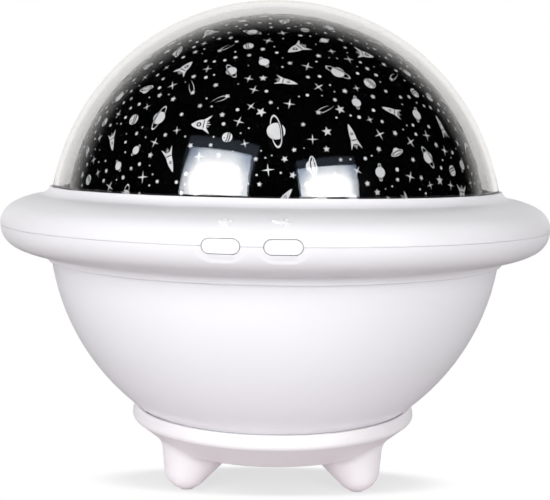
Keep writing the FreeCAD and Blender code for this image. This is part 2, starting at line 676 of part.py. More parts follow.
def make_switch(side):
    """Body of a tact switch, bored for its plunger."""
    block = box((SWITCH_BOARD_FACE, SWITCH_BOARD_FACE + SWITCH_DEPTH), span(SWITCH_SIZE, side),
                span(SWITCH_SIZE, PARTING_Z))
    bore = rod(PLUNGER_RADIUS + RUNNING, SWITCH_BOARD_FACE + BUTTON_TRAVEL, BUTTON_BACK, side)
    return spun(block.cut(bore), FRONT_ANGLE)


def make_plunger(side):
    """Plunger of a tact switch, touching the back of its button."""
    inner_end = SWITCH_BOARD_FACE + 2 * BUTTON_TRAVEL + SEAM
    return spun(rod(PLUNGER_RADIUS, inner_end, BUTTON_BACK, side), FRONT_ANGLE)


def make_switch_board():
    """Upright board behind the buttons."""
    board = box((SWITCH_BOARD_FACE - BOARD_THICKNESS, SWITCH_BOARD_FACE), span(SWITCH_BOARD_WIDTH),
                span(SWITCH_BOARD_HEIGHT, PARTING_Z))
    return spun(board, FRONT_ANGLE)


def make_usb_board():
    """Small board that carries the charging socket."""
    heights = (USB_BOARD_Z, USB_BOARD_Z + BOARD_THICKNESS)
    board = box((USB_BOARD_NEAR, USB_BOARD_FAR), span(USB_BOARD_WIDTH), heights)
    for side in (-USB_SCREW_SIDE, USB_SCREW_SIDE):
        board = board.cut(cylinder(SMALL_SCREW[0] + SCREW_HOLE, *heights, USB_SCREW_X, side))
    return spun(board, USB_ANGLE)


def make_usb_screws():
    """Screws of the socket's board."""
    seat = USB_BOARD_Z + BOARD_THICKNESS
    length = BOARD_THICKNESS + POST_THREAD - SEAM
    return group(spun(screw(USB_SCREW_X, side, seat, length, SMALL_SCREW), USB_ANGLE)
                 for side in (-USB_SCREW_SIDE, USB_SCREW_SIDE))


def make_usb_socket():
    """Charging socket: a drawn shell, closed at the back, with its tongue."""
    back = USB_MOUTH - USB_LENGTH
    shell = stadium(USB_WIDTH, USB_HEIGHT, back, USB_MOUTH)
    room = stadium(USB_WIDTH - 2 * USB_WALL, USB_HEIGHT - 2 * USB_WALL, back + USB_WALL, USB_MOUTH)
    tongue = box((back, USB_MOUTH - 2 * USB_WALL), span(USB_TONGUE[0]), span(USB_TONGUE[1], PARTING_Z))
    return spun(shell.cut(room).fuse(tongue), USB_ANGLE)


# ---------------------------------------------------------------- deck and drive

def deck_screw_places():
    """Places of the four deck screws, in the ring outside the bowl's flange."""
    return [on_circle(DECK_SCREW_CIRCLE, angle) for angle in DECK_SCREW_ANGLES]


def motor_screw_places():
    """Places of the motor's two screws, before it is spun to its angle."""
    return [(MOTOR_REACH, side) for side in (-MOTOR_EAR_SIDE, MOTOR_EAR_SIDE)]


def lamp_screw_places():
    """Places of the lamp board's two screws."""
    return [(-LAMP_SCREW_SIDE, 0.0), (LAMP_SCREW_SIDE, 0.0)]


def make_deck():
    """Deck: plate clamped on the bowl, with the lamp post, the screw ears and the motor seat."""
    shape = cylinder(FLANGE_RADIUS, DECK_Z, DECK_TOP_Z)
    root = box((DECK_SCREW_CIRCLE - EAR_ROOT, DECK_SCREW_CIRCLE), span(2 * DECK_EAR), (DECK_Z, DECK_TOP_Z))
    ear = root.fuse(cylinder(DECK_EAR, DECK_Z, DECK_TOP_Z, DECK_SCREW_CIRCLE))
    for angle in DECK_SCREW_ANGLES:
        shape = shape.fuse(spun(ear, angle))
    shape = shape.fuse(cylinder(POST_RADIUS, DECK_Z, POST_TOP_Z))
    shape = shape.cut(cylinder(POST_RADIUS - POST_WALL, DECK_Z, POST_TOP_Z - POST_WALL))
    shape = shape.cut(cylinder(POST_WALL, DECK_Z, POST_TOP_Z))
    for x, y in lamp_screw_places():
        shape = shape.cut(cylinder(SMALL_SCREW[0] + THREAD_HOLE, POST_TOP_Z - POST_WALL, POST_TOP_Z, x, y))
    for x, y in motor_screw_places():
        boss = cylinder(SMALL_SCREW[1] + MOTOR_PLATE, DECK_Z, DECK_TOP_Z + POST_WALL, x, y)
        hole = cylinder(SMALL_SCREW[0] + THREAD_HOLE, DECK_Z, DECK_TOP_Z + POST_THREAD, x, y)
        shape = shape.fuse(spun(boss, MOTOR_ANGLE)).cut(spun(hole, MOTOR_ANGLE))
    boss_hole = cylinder(SHAFT_BOSS_RADIUS + FIT, DECK_Z, DECK_TOP_Z, SHAFT_DISTANCE)
    shape = shape.cut(spun(boss_hole, MOTOR_ANGLE))
    for x, y in deck_screw_places():
        shape = shape.cut(cylinder(SMALL_SCREW[0] + SCREW_HOLE, DECK_Z, DECK_TOP_Z, x, y))
    return shape


def make_deck_screws():
    """Screws that clamp the deck and the bowl to the lower ring."""
    length = DECK_THICKNESS + DECK_THREAD - SEAM
    return group(screw(x, y, DECK_TOP_Z, length, SMALL_SCREW) for x, y in deck_screw_places())


def make_gear_motor():
    """Flat geared motor hung under the deck, its shaft off the middle of the can."""
    can_bottom = DECK_Z - MOTOR_HEIGHT
    plate = (DECK_Z - MOTOR_PLATE, DECK_Z)
    shape = cylinder(MOTOR_RADIUS, can_bottom, DECK_Z, MOTOR_REACH)
    shape = shape.fuse(box(span(2 * MOTOR_EAR_RADIUS, MOTOR_REACH), span(2 * MOTOR_EAR_SIDE), plate))
    for x, y in motor_screw_places():
        shape = shape.fuse(cylinder(MOTOR_EAR_RADIUS, *plate, x, y))
    shape = shape.fuse(cylinder(SHAFT_BOSS_RADIUS, plate[0], DECK_TOP_Z - SEAM, SHAFT_DISTANCE))
    edge = MOTOR_REACH + MOTOR_RADIUS
    lug = box((edge - 4 * MOTOR_LUG[1], edge + MOTOR_LUG[1]), span(MOTOR_LUG[0]),
              (can_bottom + MOTOR_PLATE, plate[0] - MOTOR_PLATE))
    shape = shape.fuse(lug)
    for x, y in motor_screw_places():
        shape = shape.cut(cylinder(SMALL_SCREW[0] + SCREW_HOLE, *plate, x, y))
    bore = cylinder(SHAFT_RADIUS + RUNNING, DECK_Z - MOTOR_HEIGHT / 2, DECK_TOP_Z, SHAFT_DISTANCE)
    return spun(shape.cut(bore), MOTOR_ANGLE)


def make_motor_screws():
    """Screws up through the motor's plate into the deck."""
    seat = DECK_Z - MOTOR_PLATE
    length = MOTOR_PLATE + DECK_THICKNESS + POST_THREAD - SEAM
    return group(spun(screw(x, y, seat, length, SMALL_SCREW, downward=False), MOTOR_ANGLE)
                 for x, y in motor_screw_places())


def make_motor_shaft():
    """Output shaft of the geared motor."""
    shaft = cylinder(SHAFT_RADIUS, DECK_Z - MOTOR_HEIGHT / 2 + FIT, GEAR_TOP_Z, SHAFT_DISTANCE)
    return spun(shaft, MOTOR_ANGLE)


def involute_angle(base, radius):
    """Polar angle of an involute at a radius, measured from where it leaves the base circle."""
    roll = math.sqrt(max((radius / base) ** 2 - 1.0, 0.0))
    return roll - math.atan(roll)


def gear_wire(teeth):
    """The outline of a stub-tooth involute gear, with a tooth centred on +X."""
    pitch = GEAR_MODULE * teeth / 2
    base = pitch * math.cos(PRESSURE_ANGLE)
    tip = pitch + GEAR_ADDENDUM * GEAR_MODULE
    root = pitch - GEAR_DEDENDUM * GEAR_MODULE
    start = max(base, root)
    half_tooth = math.pi / (2 * teeth) - GEAR_BACKLASH / (4 * pitch)
    at_pitch = involute_angle(base, pitch)

    def flank(radius):
        return half_tooth + at_pitch - involute_angle(base, radius)

    def polar(radius, angle):
        return FreeCAD.Vector(radius * math.cos(angle), radius * math.sin(angle), 0)

    edges = []
    step = 2 * math.pi / teeth
    middle = (start + tip) / 2
    for tooth in range(teeth):
        at = tooth * step
        left = [polar(radius, at + flank(radius)) for radius in (start, middle, tip)]
        right = [polar(radius, at - flank(radius)) for radius in (start, middle, tip)]
        next_foot = polar(root, at + step - flank(start))
        own_foot = polar(root, at + flank(start))
        edges.append(Part.Arc(*right).toShape())
        edges.append(Part.Arc(right[2], polar(tip, at), left[2]).toShape())
        edges.append(Part.Arc(*left).toShape())
        if start > root:
            edges.append(Part.makeLine(left[0], own_foot))
            edges.append(Part.makeLine(next_foot, polar(start, at + step - flank(start))))
        edges.append(Part.Arc(own_foot, polar(root, at + step / 2), next_foot).toShape())
    return Part.Wire(Part.__sortEdges__(edges))


def gear(teeth, bottom, top):
    """A straight-toothed gear between two heights."""
    solid = Part.Face(gear_wire(teeth)).extrude(FreeCAD.Vector(0, 0, top - bottom))
    solid.translate(FreeCAD.Vector(0, 0, bottom))
    return solid


def make_motor_pinion():
    """Pinion turned so that one of its gaps faces the turntable's tooth."""
    shape = gear(PINION_TEETH, GEAR_Z, GEAR_TOP_Z)
    shape.rotate(ORIGIN, VERTICAL, 180.0 + 180.0 / PINION_TEETH)
    shape = shape.fuse(cylinder(PINION_HUB_RADIUS, DECK_TOP_Z + 2 * FIT, GEAR_Z + 2 * FIT))
    shape = shape.cut(cylinder(SHAFT_RADIUS, DECK_TOP_Z, GEAR_TOP_Z))
    shape.translate(FreeCAD.Vector(SHAFT_DISTANCE, 0, 0))
    return spun(shape, MOTOR_ANGLE)


def make_thrust_washer():
    """Acetal washer between the deck and the turntable's hub."""
    return tube(POST_RADIUS + HUB_WALL + 2 * FIT, POST_RADIUS + RUNNING, DECK_TOP_Z, HUB_Z)


def film_radius_at(z, inset=0.0):
    """Distance of the film from the axis at a height, of its inside if its wall is given as the inset."""
    return sphere_radius_at(FILM_RADIUS - inset, FILM_Z, z)


def make_turntable():
    """Turntable: hub on the lamp post, ring gear below the web, film seat at the rim."""
    bore = POST_RADIUS + RUNNING
    fence = film_radius_at(LEDGE_Z + FILM_GRIP, FILM_WALL) - SEAM
    fence_inner = fence - FENCE_RING_WALL
    shape = turned_polygon((bore, HUB_Z), (bore + HUB_WALL, HUB_Z), (bore + HUB_WALL, WEB_Z),
                           (TURNTABLE_RADIUS, WEB_Z), (TURNTABLE_RADIUS, LEDGE_Z), (fence, LEDGE_Z),
                           (fence, LEDGE_Z + FILM_GRIP), (fence_inner, LEDGE_Z + FILM_GRIP),
                           (fence_inner, WEB_TOP_Z), (bore, WEB_TOP_Z))
    into_web = WEB_Z + SEAM
    ring = gear(GEAR_TEETH, GEAR_Z, into_web)
    ring = ring.cut(cylinder(PITCH_GEAR - GEAR_DEDENDUM * GEAR_MODULE - GEAR_RIM, GEAR_Z, into_web))
    shape = shape.fuse(spun(ring, MOTOR_ANGLE))
    clear_of_pinion = SHAFT_DISTANCE + PITCH_PINION + 2 * GEAR_MODULE
    rib = box((clear_of_pinion, fence_inner), span(FENCE_RING_WALL), (WEB_Z - RIB_HEIGHT, into_web))
    for number in range(TURNTABLE_RIBS):
        shape = shape.fuse(spun(rib, number * 360.0 / TURNTABLE_RIBS))
    return shape


def make_film_ring():
    """Ring round the film's edge that holds it on its seat."""
    inner = film_radius_at(LEDGE_Z) + THREAD_HOLE
    return tube(TURNTABLE_RADIUS - SEAM, inner, LEDGE_Z, LEDGE_Z + FILM_GRIP + SEAM)


# ---------------------------------------------------------------- lamp, film and dome

def make_led_board():
    """Lamp board on the post."""
    shape = cylinder(POST_RADIUS - 2 * FIT, POST_TOP_Z, LAMP_BOARD_TOP_Z)
    for x, y in lamp_screw_places():
        shape = shape.cut(cylinder(SMALL_SCREW[0] + SCREW_HOLE, POST_TOP_Z, LAMP_BOARD_TOP_Z, x, y))
    return shape


def make_led_screws():
    """Screws of the lamp board."""
    length = BOARD_THICKNESS + POST_WALL - SEAM
    return group(screw(x, y, LAMP_BOARD_TOP_Z, length, SMALL_SCREW) for x, y in lamp_screw_places())


def make_projection_led():
    """Four chips close together, so that each motif is thrown as one sharp spot."""
    heights = (LAMP_BOARD_TOP_Z, LAMP_BOARD_TOP_Z + LAMP_CHIP_HEIGHT)
    places = span(LAMP_CHIP + 2 * FIT)
    return group(box(span(LAMP_CHIP, x), span(LAMP_CHIP, y), heights) for x in places for y in places)


def make_film_dome():
    """Printed film: a thin sphere cap on the turntable."""
    inner = FILM_RADIUS - FILM_WALL
    edges = [sphere_arc(FILM_RADIUS, FILM_Z, LEDGE_Z, None), sphere_arc(inner, FILM_Z, LEDGE_Z, None)]
    edges += lines((film_radius_at(LEDGE_Z), LEDGE_Z), (film_radius_at(LEDGE_Z, FILM_WALL), LEDGE_Z))
    edges += lines((0.0, FILM_Z + inner), (0.0, FILM_Z + FILM_RADIUS))
    return turned(edges)


def make_clear_dome():
    """Clear dome: a sphere cap with a straight skirt that drops into the upper ring's lip."""
    inner = GLOBE_RADIUS - DOME_WALL
    skirt = DOME_SEAM_RADIUS - DOME_WALL
    inner_seam_z = GLOBE_Z + math.sqrt(inner ** 2 - skirt ** 2)
    edges = [sphere_arc(GLOBE_RADIUS, GLOBE_Z, DOME_SEAM_Z, None),
             sphere_arc(inner, GLOBE_Z, inner_seam_z, None)]
    edges += lines((DOME_SEAM_RADIUS, DOME_SEAM_Z), (DOME_SEAM_RADIUS, LEDGE_Z), (skirt, LEDGE_Z),
                   (skirt, inner_seam_z))
    edges += lines((0.0, GLOBE_Z + inner), (0.0, GLOBE_Z + GLOBE_RADIUS))
    return turned(edges)


def build():
    """Every node of the lamp by name."""
    night, star = button_sides()
    return {
        "base": make_base(),
        "foot_pads": make_foot_pads(),
        "base_screws": make_base_screws(),
        "battery_cell": make_battery_cell(),
        "bowl": make_bowl(),
        "main_board": make_main_board(),
        "board_screws": make_board_screws(),
        "board_parts": make_board_parts(),
        "night_leds": make_night_leds(),
        "lower_ring": make_lower_ring(),
        "upper_ring": make_upper_ring(),
        "night_button": make_button(night),
        "star_button": make_button(star),
        "night_plunger": make_plunger(night),
        "star_plunger": make_plunger(star),
        "night_switch": make_switch(night),
        "star_switch": make_switch(star),
        "switch_board": make_switch_board(),
        "usb_board": make_usb_board(),
        "usb_screws": make_usb_screws(),
        "usb_socket": make_usb_socket(),
        "deck": make_deck(),
        "deck_screws": make_deck_screws(),
        "gear_motor": make_gear_motor(),
        "motor_screws": make_motor_screws(),
        "motor_shaft": make_motor_shaft(),
        "motor_pinion": make_motor_pinion(),
        "thrust_washer": make_thrust_washer(),
        "turntable": make_turntable(),
        "film_ring": make_film_ring(),
        "led_board": make_led_board(),
        "led_screws": make_led_screws(),
        "projection_led": make_projection_led(),
        "film_dome": make_film_dome(),
        "clear_dome": make_clear_dome(),
    }


def main():
    """Write every node as a STEP file."""
    os.makedirs("parts", exist_ok=True)
    for name, shape in build().items():
        shape.exportStep("parts/" + name + ".step")


main()
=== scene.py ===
"""Looks of the star projector night light: star film, soft white mouldings, clear dome, studio floor."""

import json
import math
import random

import bmesh
import bpy
import numpy
from mathutils import Matrix, Vector


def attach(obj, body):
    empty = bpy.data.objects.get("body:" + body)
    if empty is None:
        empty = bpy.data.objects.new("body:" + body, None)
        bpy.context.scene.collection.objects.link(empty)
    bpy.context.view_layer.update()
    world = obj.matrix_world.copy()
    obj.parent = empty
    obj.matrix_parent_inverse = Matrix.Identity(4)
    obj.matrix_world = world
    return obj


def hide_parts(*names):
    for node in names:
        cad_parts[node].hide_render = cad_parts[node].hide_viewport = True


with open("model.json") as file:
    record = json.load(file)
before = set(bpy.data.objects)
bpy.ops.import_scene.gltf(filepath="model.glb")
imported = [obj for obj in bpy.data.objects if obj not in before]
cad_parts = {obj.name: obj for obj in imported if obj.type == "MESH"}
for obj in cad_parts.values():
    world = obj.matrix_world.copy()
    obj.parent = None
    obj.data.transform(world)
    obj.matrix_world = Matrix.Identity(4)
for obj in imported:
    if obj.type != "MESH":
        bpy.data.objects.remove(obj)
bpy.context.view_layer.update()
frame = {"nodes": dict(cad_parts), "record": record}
NODES = frame["nodes"]

MM = 0.001

# Lamp sizes in millimetres, as in the solids. The ring's arcs are a radius and a turn each, from the rim
# inwards; its hair-fine parting groove and the rounded edge of its lower lip are here alone
FILM_RADIUS = 57.9
FILM_Z = 72.2
RING_RADIUS = 75.0
PARTING_Z = 72.8
UPPER_TURNS = ((5.9, 59.0), (16.94, 25.41), (3.5, -62.41))
LOWER_TURNS = ((6.3, 62.0), (15.97, 25.52), (2.15, -84.0), (0.3, 84.0))
RING_WALL = 2.0
CHAMFER = 0.17
GROOVE_HALF = 0.10
GROOVE_DEPTH = 0.22
SOCKET_RADIUS = 61.51
LIP_WALL = 1.6
LEDGE_RADIUS = 59.5
LEDGE_Z = 79.0
LEDGE_UNDER_Z = 77.4
DECK_TOP_Z = 70.6
LOWER_LIP_RADIUS = 62.46
BOWL_FLANGE_Z = 66.8
RING_STEPS = 720

# Buttons: caps and their flanges, holes, the soft dishes round them and the zone that the dishes lie in,
# as an angle, a height and a depth; and the socket's opening
FRONT_ANGLE = -93.8
BUTTON_PITCH = 13.5
BUTTON_SIZE = (8.25, 3.25)
BUTTON_GAP = 0.15
BUTTON_ROUND = 0.35
BUTTON_BACK = 71.0
BUTTON_FLANGE = 0.75
BUTTON_SIDES = (-BUTTON_PITCH / 2, BUTTON_PITCH / 2)
CAP_BACK = 71.6
FLANGE_FACE = 72.3
BAR_REACH = (66.0, 80.0)
DISH_SIZE = (10.3, 6.7)
DISH_DEPTH = 0.28
DISH_BLUR = 0.7
DISH_ZONE = (0.25, 5.5, 3.5)
USB_OPENING = (9.5, 3.8)
USB_ANGLE = 90.0

# Film print: lowest motif and lowest ink, how far the ink stands off the film and each layer off the last,
# and how the places are thrown: tries for each motif, least gap to its neighbours, and how far it turns
PRINT_LOW_Z = 79.9
INK_LOW_Z = 79.5
INK_LIFT = 0.055
LAYER_LIFT = 0.02
PRINT_SEED = 41
PLACE_TRIES = 90
LEAST_GAP = 0.25
MOTIF_TURN = 0.6

# Signs: sunk foot and raised face off the slope, place along it, and how much nearer to each other they
# stand than the buttons
SIGN_FOOT = -0.15
SIGN_FACE = 0.28
SIGN_ALONG = -0.3
SIGN_NEARER = 0.4

# Skin and metal: how high the grain and the streaks stand, in metres
GRAIN_HEIGHT = 0.00004
STREAK_HEIGHT = 0.00003

# Floor where it is seen: its response to light, its own glow, and the oval round the lamp where it fades
# to plain white; inside the oval the floor is a painted shadow, grey even where no shade falls, with the real
# shading on it at a low gain. Elsewhere it bounces one colour near the lamp and another farther out
FLOOR_RADIUS = 6.0
FLOOR_GAIN = 0.27
FLOOR_LIFT = 0.64
PAINTED_SHADOW_STRETCH = (1.0, 3.6, 0.0)
PAINTED_SHADOW_SHIFT = (0.0, 0.023, 0.0)
PAINTED_SHADOW_FADE = (0.038, 0.054)
FLOOR_NEAR = (0.68, 0.60, 0.63, 1.0)
FLOOR_FAR = (0.438, 0.415, 0.420, 1.0)
BOUNCE_FADE = (0.045, 0.080)

# Pale backdrop behind the lamp, its shift to the right side and its tint in mirrors, and the dim room
BACKDROP_FADE = (0.55, 0.87)
BACKDROP_SHIFT = 0.055
BACKDROP_TINT = (1.0, 0.985, 0.970, 1.0)
ROOM_LIGHT = 0.26

# Lamps aim at this height. Softboxes: top of the bright part, glow of the faint rim, cool colour of the edge
LAMP_AIM_Z = 0.08
SOFTBOX_TOP = 0.78
SOFTBOX_RIM = 0.022
SOFTBOX_EDGE = (0.62, 0.76, 1.0, 1.0)
WHITE = (1.0, 1.0, 1.0, 1.0)

# Camera: distance in front of the lamp's axis, height, tilt, lean and lens
EYE_DISTANCE = 0.300
EYE_HEIGHT = 0.09465
EYE_TILT = 0.099
EYE_LEAN = 0.0143
EYE_FOCAL = 1067.7
PICTURE_WIDTH = 550
SENSOR_WIDTH = 36.0


# ---------------------------------------------------------------- materials

def socket_group(name, inputs, outputs):
    """An empty shader group with named number or vector sockets."""
    group = bpy.data.node_groups.new(name, "ShaderNodeTree")
    for label, kind, value in inputs:
        made = group.interface.new_socket(name=label, in_out="INPUT", socket_type=kind)
        if value is not None:
            made.default_value = value
    for label, kind in outputs:
        group.interface.new_socket(name=label, in_out="OUTPUT", socket_type=kind)
    return group, group.nodes.new("NodeGroupInput"), group.nodes.new("NodeGroupOutput")


def moulded_grain_group():
    """Skin of a moulding: slow sink waviness, fine spark-eroded grain and a little handling haze."""
    group, start, end = socket_group(
        "moulded_grain",
        [("Vector", "NodeSocketVector", None), ("Grain Scale", "NodeSocketFloat", 900.0),
         ("Wave Scale", "NodeSocketFloat", 30.0), ("Roughness", "NodeSocketFloat", 0.35),
         ("Spread", "NodeSocketFloat", 0.1)],
        [("Tone", "NodeSocketFloat"), ("Roughness", "NodeSocketFloat"), ("Height", "NodeSocketFloat")])
    nodes, links = group.nodes, group.links
    grain = nodes.new("ShaderNodeTexNoise")
    grain.inputs["Detail"].default_value = 3.0
    wave = nodes.new("ShaderNodeTexNoise")
    wave.inputs["Detail"].default_value = 2.0
    links.new(start.outputs["Vector"], grain.inputs["Vector"])
    links.new(start.outputs["Grain Scale"], grain.inputs["Scale"])
    links.new(start.outputs["Vector"], wave.inputs["Vector"])
    links.new(start.outputs["Wave Scale"], wave.inputs["Scale"])
    tone = nodes.new("ShaderNodeMapRange")
    tone.inputs["To Min"].default_value = 0.975
    tone.inputs["To Max"].default_value = 1.0
    links.new(wave.outputs["Fac"], tone.inputs["Value"])
    centred = nodes.new("ShaderNodeMath")
    centred.operation = "SUBTRACT"
    centred.inputs[1].default_value = 0.5
    links.new(wave.outputs["Fac"], centred.inputs[0])
    spread = nodes.new("ShaderNodeMath")
    spread.operation = "MULTIPLY_ADD"
    links.new(centred.outputs[0], spread.inputs[0])
    links.new(start.outputs["Spread"], spread.inputs[1])
    links.new(start.outputs["Roughness"], spread.inputs[2])
    links.new(tone.outputs[0], end.inputs["Tone"])
    links.new(spread.outputs[0], end.inputs["Roughness"])
    links.new(grain.outputs["Fac"], end.inputs["Height"])
    return group


def brushed_group():
    """Drawn or rolled metal: streaks along one axis as a tone, a roughness and a height."""
    group, start, end = socket_group(
        "brushed_metal",
        [("Vector", "NodeSocketVector", None), ("Scale", "NodeSocketFloat", 400.0)],
        [("Tone", "NodeSocketFloat"), ("Roughness", "NodeSocketFloat"), ("Height", "NodeSocketFloat")])
    nodes, links = group.nodes, group.links
    stretch = nodes.new("ShaderNodeMapping")
    stretch.inputs["Scale"].default_value = (1.0, 1.0, 14.0)
    streaks = nodes.new("ShaderNodeTexNoise")
    streaks.inputs["Detail"].default_value = 4.0
    links.new(start.outputs["Vector"], stretch.inputs["Vector"])
    links.new(stretch.outputs[0], streaks.inputs["Vector"])
    links.new(start.outputs["Scale"], streaks.inputs["Scale"])
    for label, low, high in (("Tone", 0.82, 1.05), ("Roughness", 0.22, 0.42)):
        ranged = nodes.new("ShaderNodeMapRange")
        ranged.inputs["To Min"].default_value = low
        ranged.inputs["To Max"].default_value = high
        links.new(streaks.outputs["Fac"], ranged.inputs["Value"])
        links.new(ranged.outputs[0], end.inputs[label])
    links.new(streaks.outputs["Fac"], end.inputs["Height"])
    return group


MOULDED = moulded_grain_group()
BRUSHED = brushed_group()


def surface(name, **sockets):
    """A material with a Principled surface whose plain values are set on its own sockets."""
    material = bpy.data.materials.new(name)
    material.use_nodes = True
    tree = material.node_tree
    shader = tree.nodes["Principled BSDF"]
    for label, value in sockets.items():
        shader.inputs[label.replace("_", " ")].default_value = value
    place = tree.nodes.new("ShaderNodeTexCoord")
    return material, tree, shader, place.outputs["Object"]


def toned(tree, shader, colour, tone, depth=1.0):
    """Base colour times a tone that varies over the surface."""
    mix = tree.nodes.new("ShaderNodeMix")
    mix.data_type = "RGBA"
    mix.blend_type = "MULTIPLY"
    mix.inputs["Factor"].default_value = depth
    mix.inputs["A"].default_value = (*colour, 1.0)
    tree.links.new(tone, mix.inputs["B"])
    tree.links.new(mix.outputs["Result"], shader.inputs["Base Color"])


def bumped(tree, shader, height, strength, distance):
    """Bends the shader's normals by a height."""
    bump = tree.nodes.new("ShaderNodeBump")
    bump.inputs["Strength"].default_value = strength
    bump.inputs["Distance"].default_value = distance
    tree.links.new(height, bump.inputs["Height"])
    tree.links.new(bump.outputs["Normal"], shader.inputs["Normal"])


def moulded(name, colour, roughness, spread=0.08, grain=900.0, bump=0.06, **sockets):
    """A moulded plastic with its grain, waviness and haze."""
    material, tree, shader, place = surface(name, **sockets)
    skin = tree.nodes.new("ShaderNodeGroup")
    skin.node_tree = MOULDED
    skin.inputs["Grain Scale"].default_value = grain
    skin.inputs["Roughness"].default_value = roughness
    skin.inputs["Spread"].default_value = spread
    tree.links.new(place, skin.inputs["Vector"])
    toned(tree, shader, colour, skin.outputs["Tone"])
    tree.links.new(skin.outputs["Roughness"], shader.inputs["Roughness"])
    bumped(tree, shader, skin.outputs["Height"], bump, GRAIN_HEIGHT)
    return material


def metal(name, colour, scale=400.0):
    """A plated or drawn metal with its streaks."""
    material, tree, shader, place = surface(name, Metallic=1.0)
    drawn = tree.nodes.new("ShaderNodeGroup")
    drawn.node_tree = BRUSHED
    drawn.inputs["Scale"].default_value = scale
    tree.links.new(place, drawn.inputs["Vector"])
    toned(tree, shader, colour, drawn.outputs["Tone"])
    tree.links.new(drawn.outputs["Roughness"], shader.inputs["Roughness"])
    bumped(tree, shader, drawn.outputs["Height"], 0.1, STREAK_HEIGHT)
    return material


def clear_plastic():
    """Polished clear dome: a shadow ray passes, as light does through a thin clear wall."""
    material, tree, shader, place = surface(
        "clear_dome_plastic", Transmission_Weight=1.0, IOR=1.49)
    skin = tree.nodes.new("ShaderNodeGroup")
    skin.node_tree = MOULDED
    skin.inputs["Roughness"].default_value = 0.015
    skin.inputs["Spread"].default_value = 0.02
    tree.links.new(place, skin.inputs["Vector"])
    toned(tree, shader, (0.99, 0.99, 0.988), skin.outputs["Tone"])
    tree.links.new(skin.outputs["Roughness"], shader.inputs["Roughness"])
    passing = tree.nodes.new("ShaderNodeBsdfTransparent")
    path = tree.nodes.new("ShaderNodeLightPath")
    mix = tree.nodes.new("ShaderNodeMixShader")
    tree.links.new(path.outputs["Is Shadow Ray"], mix.inputs["Fac"])
    tree.links.new(shader.outputs[0], mix.inputs[1])
    tree.links.new(passing.outputs[0], mix.inputs[2])
    tree.links.new(mix.outputs[0], tree.nodes["Material Output"].inputs["Surface"])
    return material


def circuit_board():
    """Green solder mask with copper tracks showing through as lighter lines."""
    material, tree, shader, place = surface("circuit_board", Roughness=0.35, Coat_Weight=0.3)
    cells = tree.nodes.new("ShaderNodeTexVoronoi")
    cells.feature = "DISTANCE_TO_EDGE"
    cells.distance = "CHEBYCHEV"
    cells.inputs["Scale"].default_value = 420.0
    tree.links.new(place, cells.inputs["Vector"])
    tracks = tree.nodes.new("ShaderNodeValToRGB")
    tracks.color_ramp.elements[0].position = 0.05
    tracks.color_ramp.elements[0].color = (0.05, 0.34, 0.12, 1.0)
    tracks.color_ramp.elements[1].position = 0.09
    tracks.color_ramp.elements[1].color = (0.012, 0.15, 0.05, 1.0)
    tree.links.new(cells.outputs["Distance"], tracks.inputs["Fac"])
    tree.links.new(tracks.outputs["Color"], shader.inputs["Base Color"])
    bumped(tree, shader, cells.outputs["Distance"], 0.15, 0.00002)
    return material


def phosphor():
    """Yellow phosphor die in a white LED package."""
    material, tree, shader, place = surface("led_phosphor", Roughness=0.3)
    spots = tree.nodes.new("ShaderNodeTexVoronoi")
    spots.inputs["Scale"].default_value = 260.0
    tree.links.new(place, spots.inputs["Vector"])
    ramp = tree.nodes.new("ShaderNodeValToRGB")
    ramp.color_ramp.elements[0].position = 0.42
    ramp.color_ramp.elements[0].color = (0.86, 0.66, 0.12, 1.0)
    ramp.color_ramp.elements[1].position = 0.5
    ramp.color_ramp.elements[1].color = (0.85, 0.85, 0.82, 1.0)
    tree.links.new(spots.outputs["Distance"], ramp.inputs["Fac"])
    tree.links.new(ramp.outputs["Color"], shader.inputs["Base Color"])
    return material


def cell_pouch():
    """Laminate pouch of the flat cell, lightly crinkled."""
    material, tree, shader, place = surface("cell_pouch", Metallic=0.85)
    folds = tree.nodes.new("ShaderNodeTexVoronoi")
    folds.feature = "SMOOTH_F1"
    folds.inputs["Scale"].default_value = 160.0
    tree.links.new(place, folds.inputs["Vector"])
    ramp = tree.nodes.new("ShaderNodeMapRange")
    ramp.inputs["To Min"].default_value = 0.25
    ramp.inputs["To Max"].default_value = 0.45
    tree.links.new(folds.outputs["Distance"], ramp.inputs["Value"])
    tree.links.new(ramp.outputs[0], shader.inputs["Roughness"])
    toned(tree, shader, (0.74, 0.75, 0.78), folds.outputs["Distance"], 0.12)
    bumped(tree, shader, folds.outputs["Distance"], 0.5, 0.00015)
    return material


MATERIALS = {
    "white_shell": moulded("white_shell", (0.858, 0.848, 0.876), 0.40, bump=0.05, Specular_IOR_Level=0.4),
    "milky": moulded("milky_bowl", (0.925, 0.92, 0.955), 0.30, bump=0.02, Specular_IOR_Level=0.4,
                     Coat_Weight=0.15, Coat_Roughness=0.25),
    "clear": clear_plastic(),
    "film": moulded("film_black", (0.0005, 0.0005, 0.0006), 0.05, 0.04, bump=0.01, Specular_IOR_Level=0.55),
    "pad": moulded("pad_rubber", (0.62, 0.62, 0.63), 0.75, grain=1500.0, bump=0.25),
    "steel": metal("zinc_steel", (0.68, 0.69, 0.71)),
    "motor_can": metal("motor_can", (0.60, 0.61, 0.62), 150.0),
    "circuit_board": circuit_board(),
    "chip": moulded("chip_black", (0.035, 0.035, 0.038), 0.55, grain=2500.0, bump=0.2),
    "led": phosphor(),
    "cell": cell_pouch(),
    "gear_plastic": moulded("gear_acetal", (0.78, 0.77, 0.72), 0.38, grain=600.0),
    "inner_black": moulded("inner_black", (0.025, 0.025, 0.027), 0.5, grain=700.0, bump=0.15),
}
# Painted light: the base takes a lighter, pinker copy of the shell plastic, standing in for the brighter light
# on its feet and the pink bounce in its shade
BASE_PAINTED_LIGHT = moulded("base_white_painted_light", (0.874, 0.855, 0.877), 0.38, bump=0.05, Specular_IOR_Level=0.4)
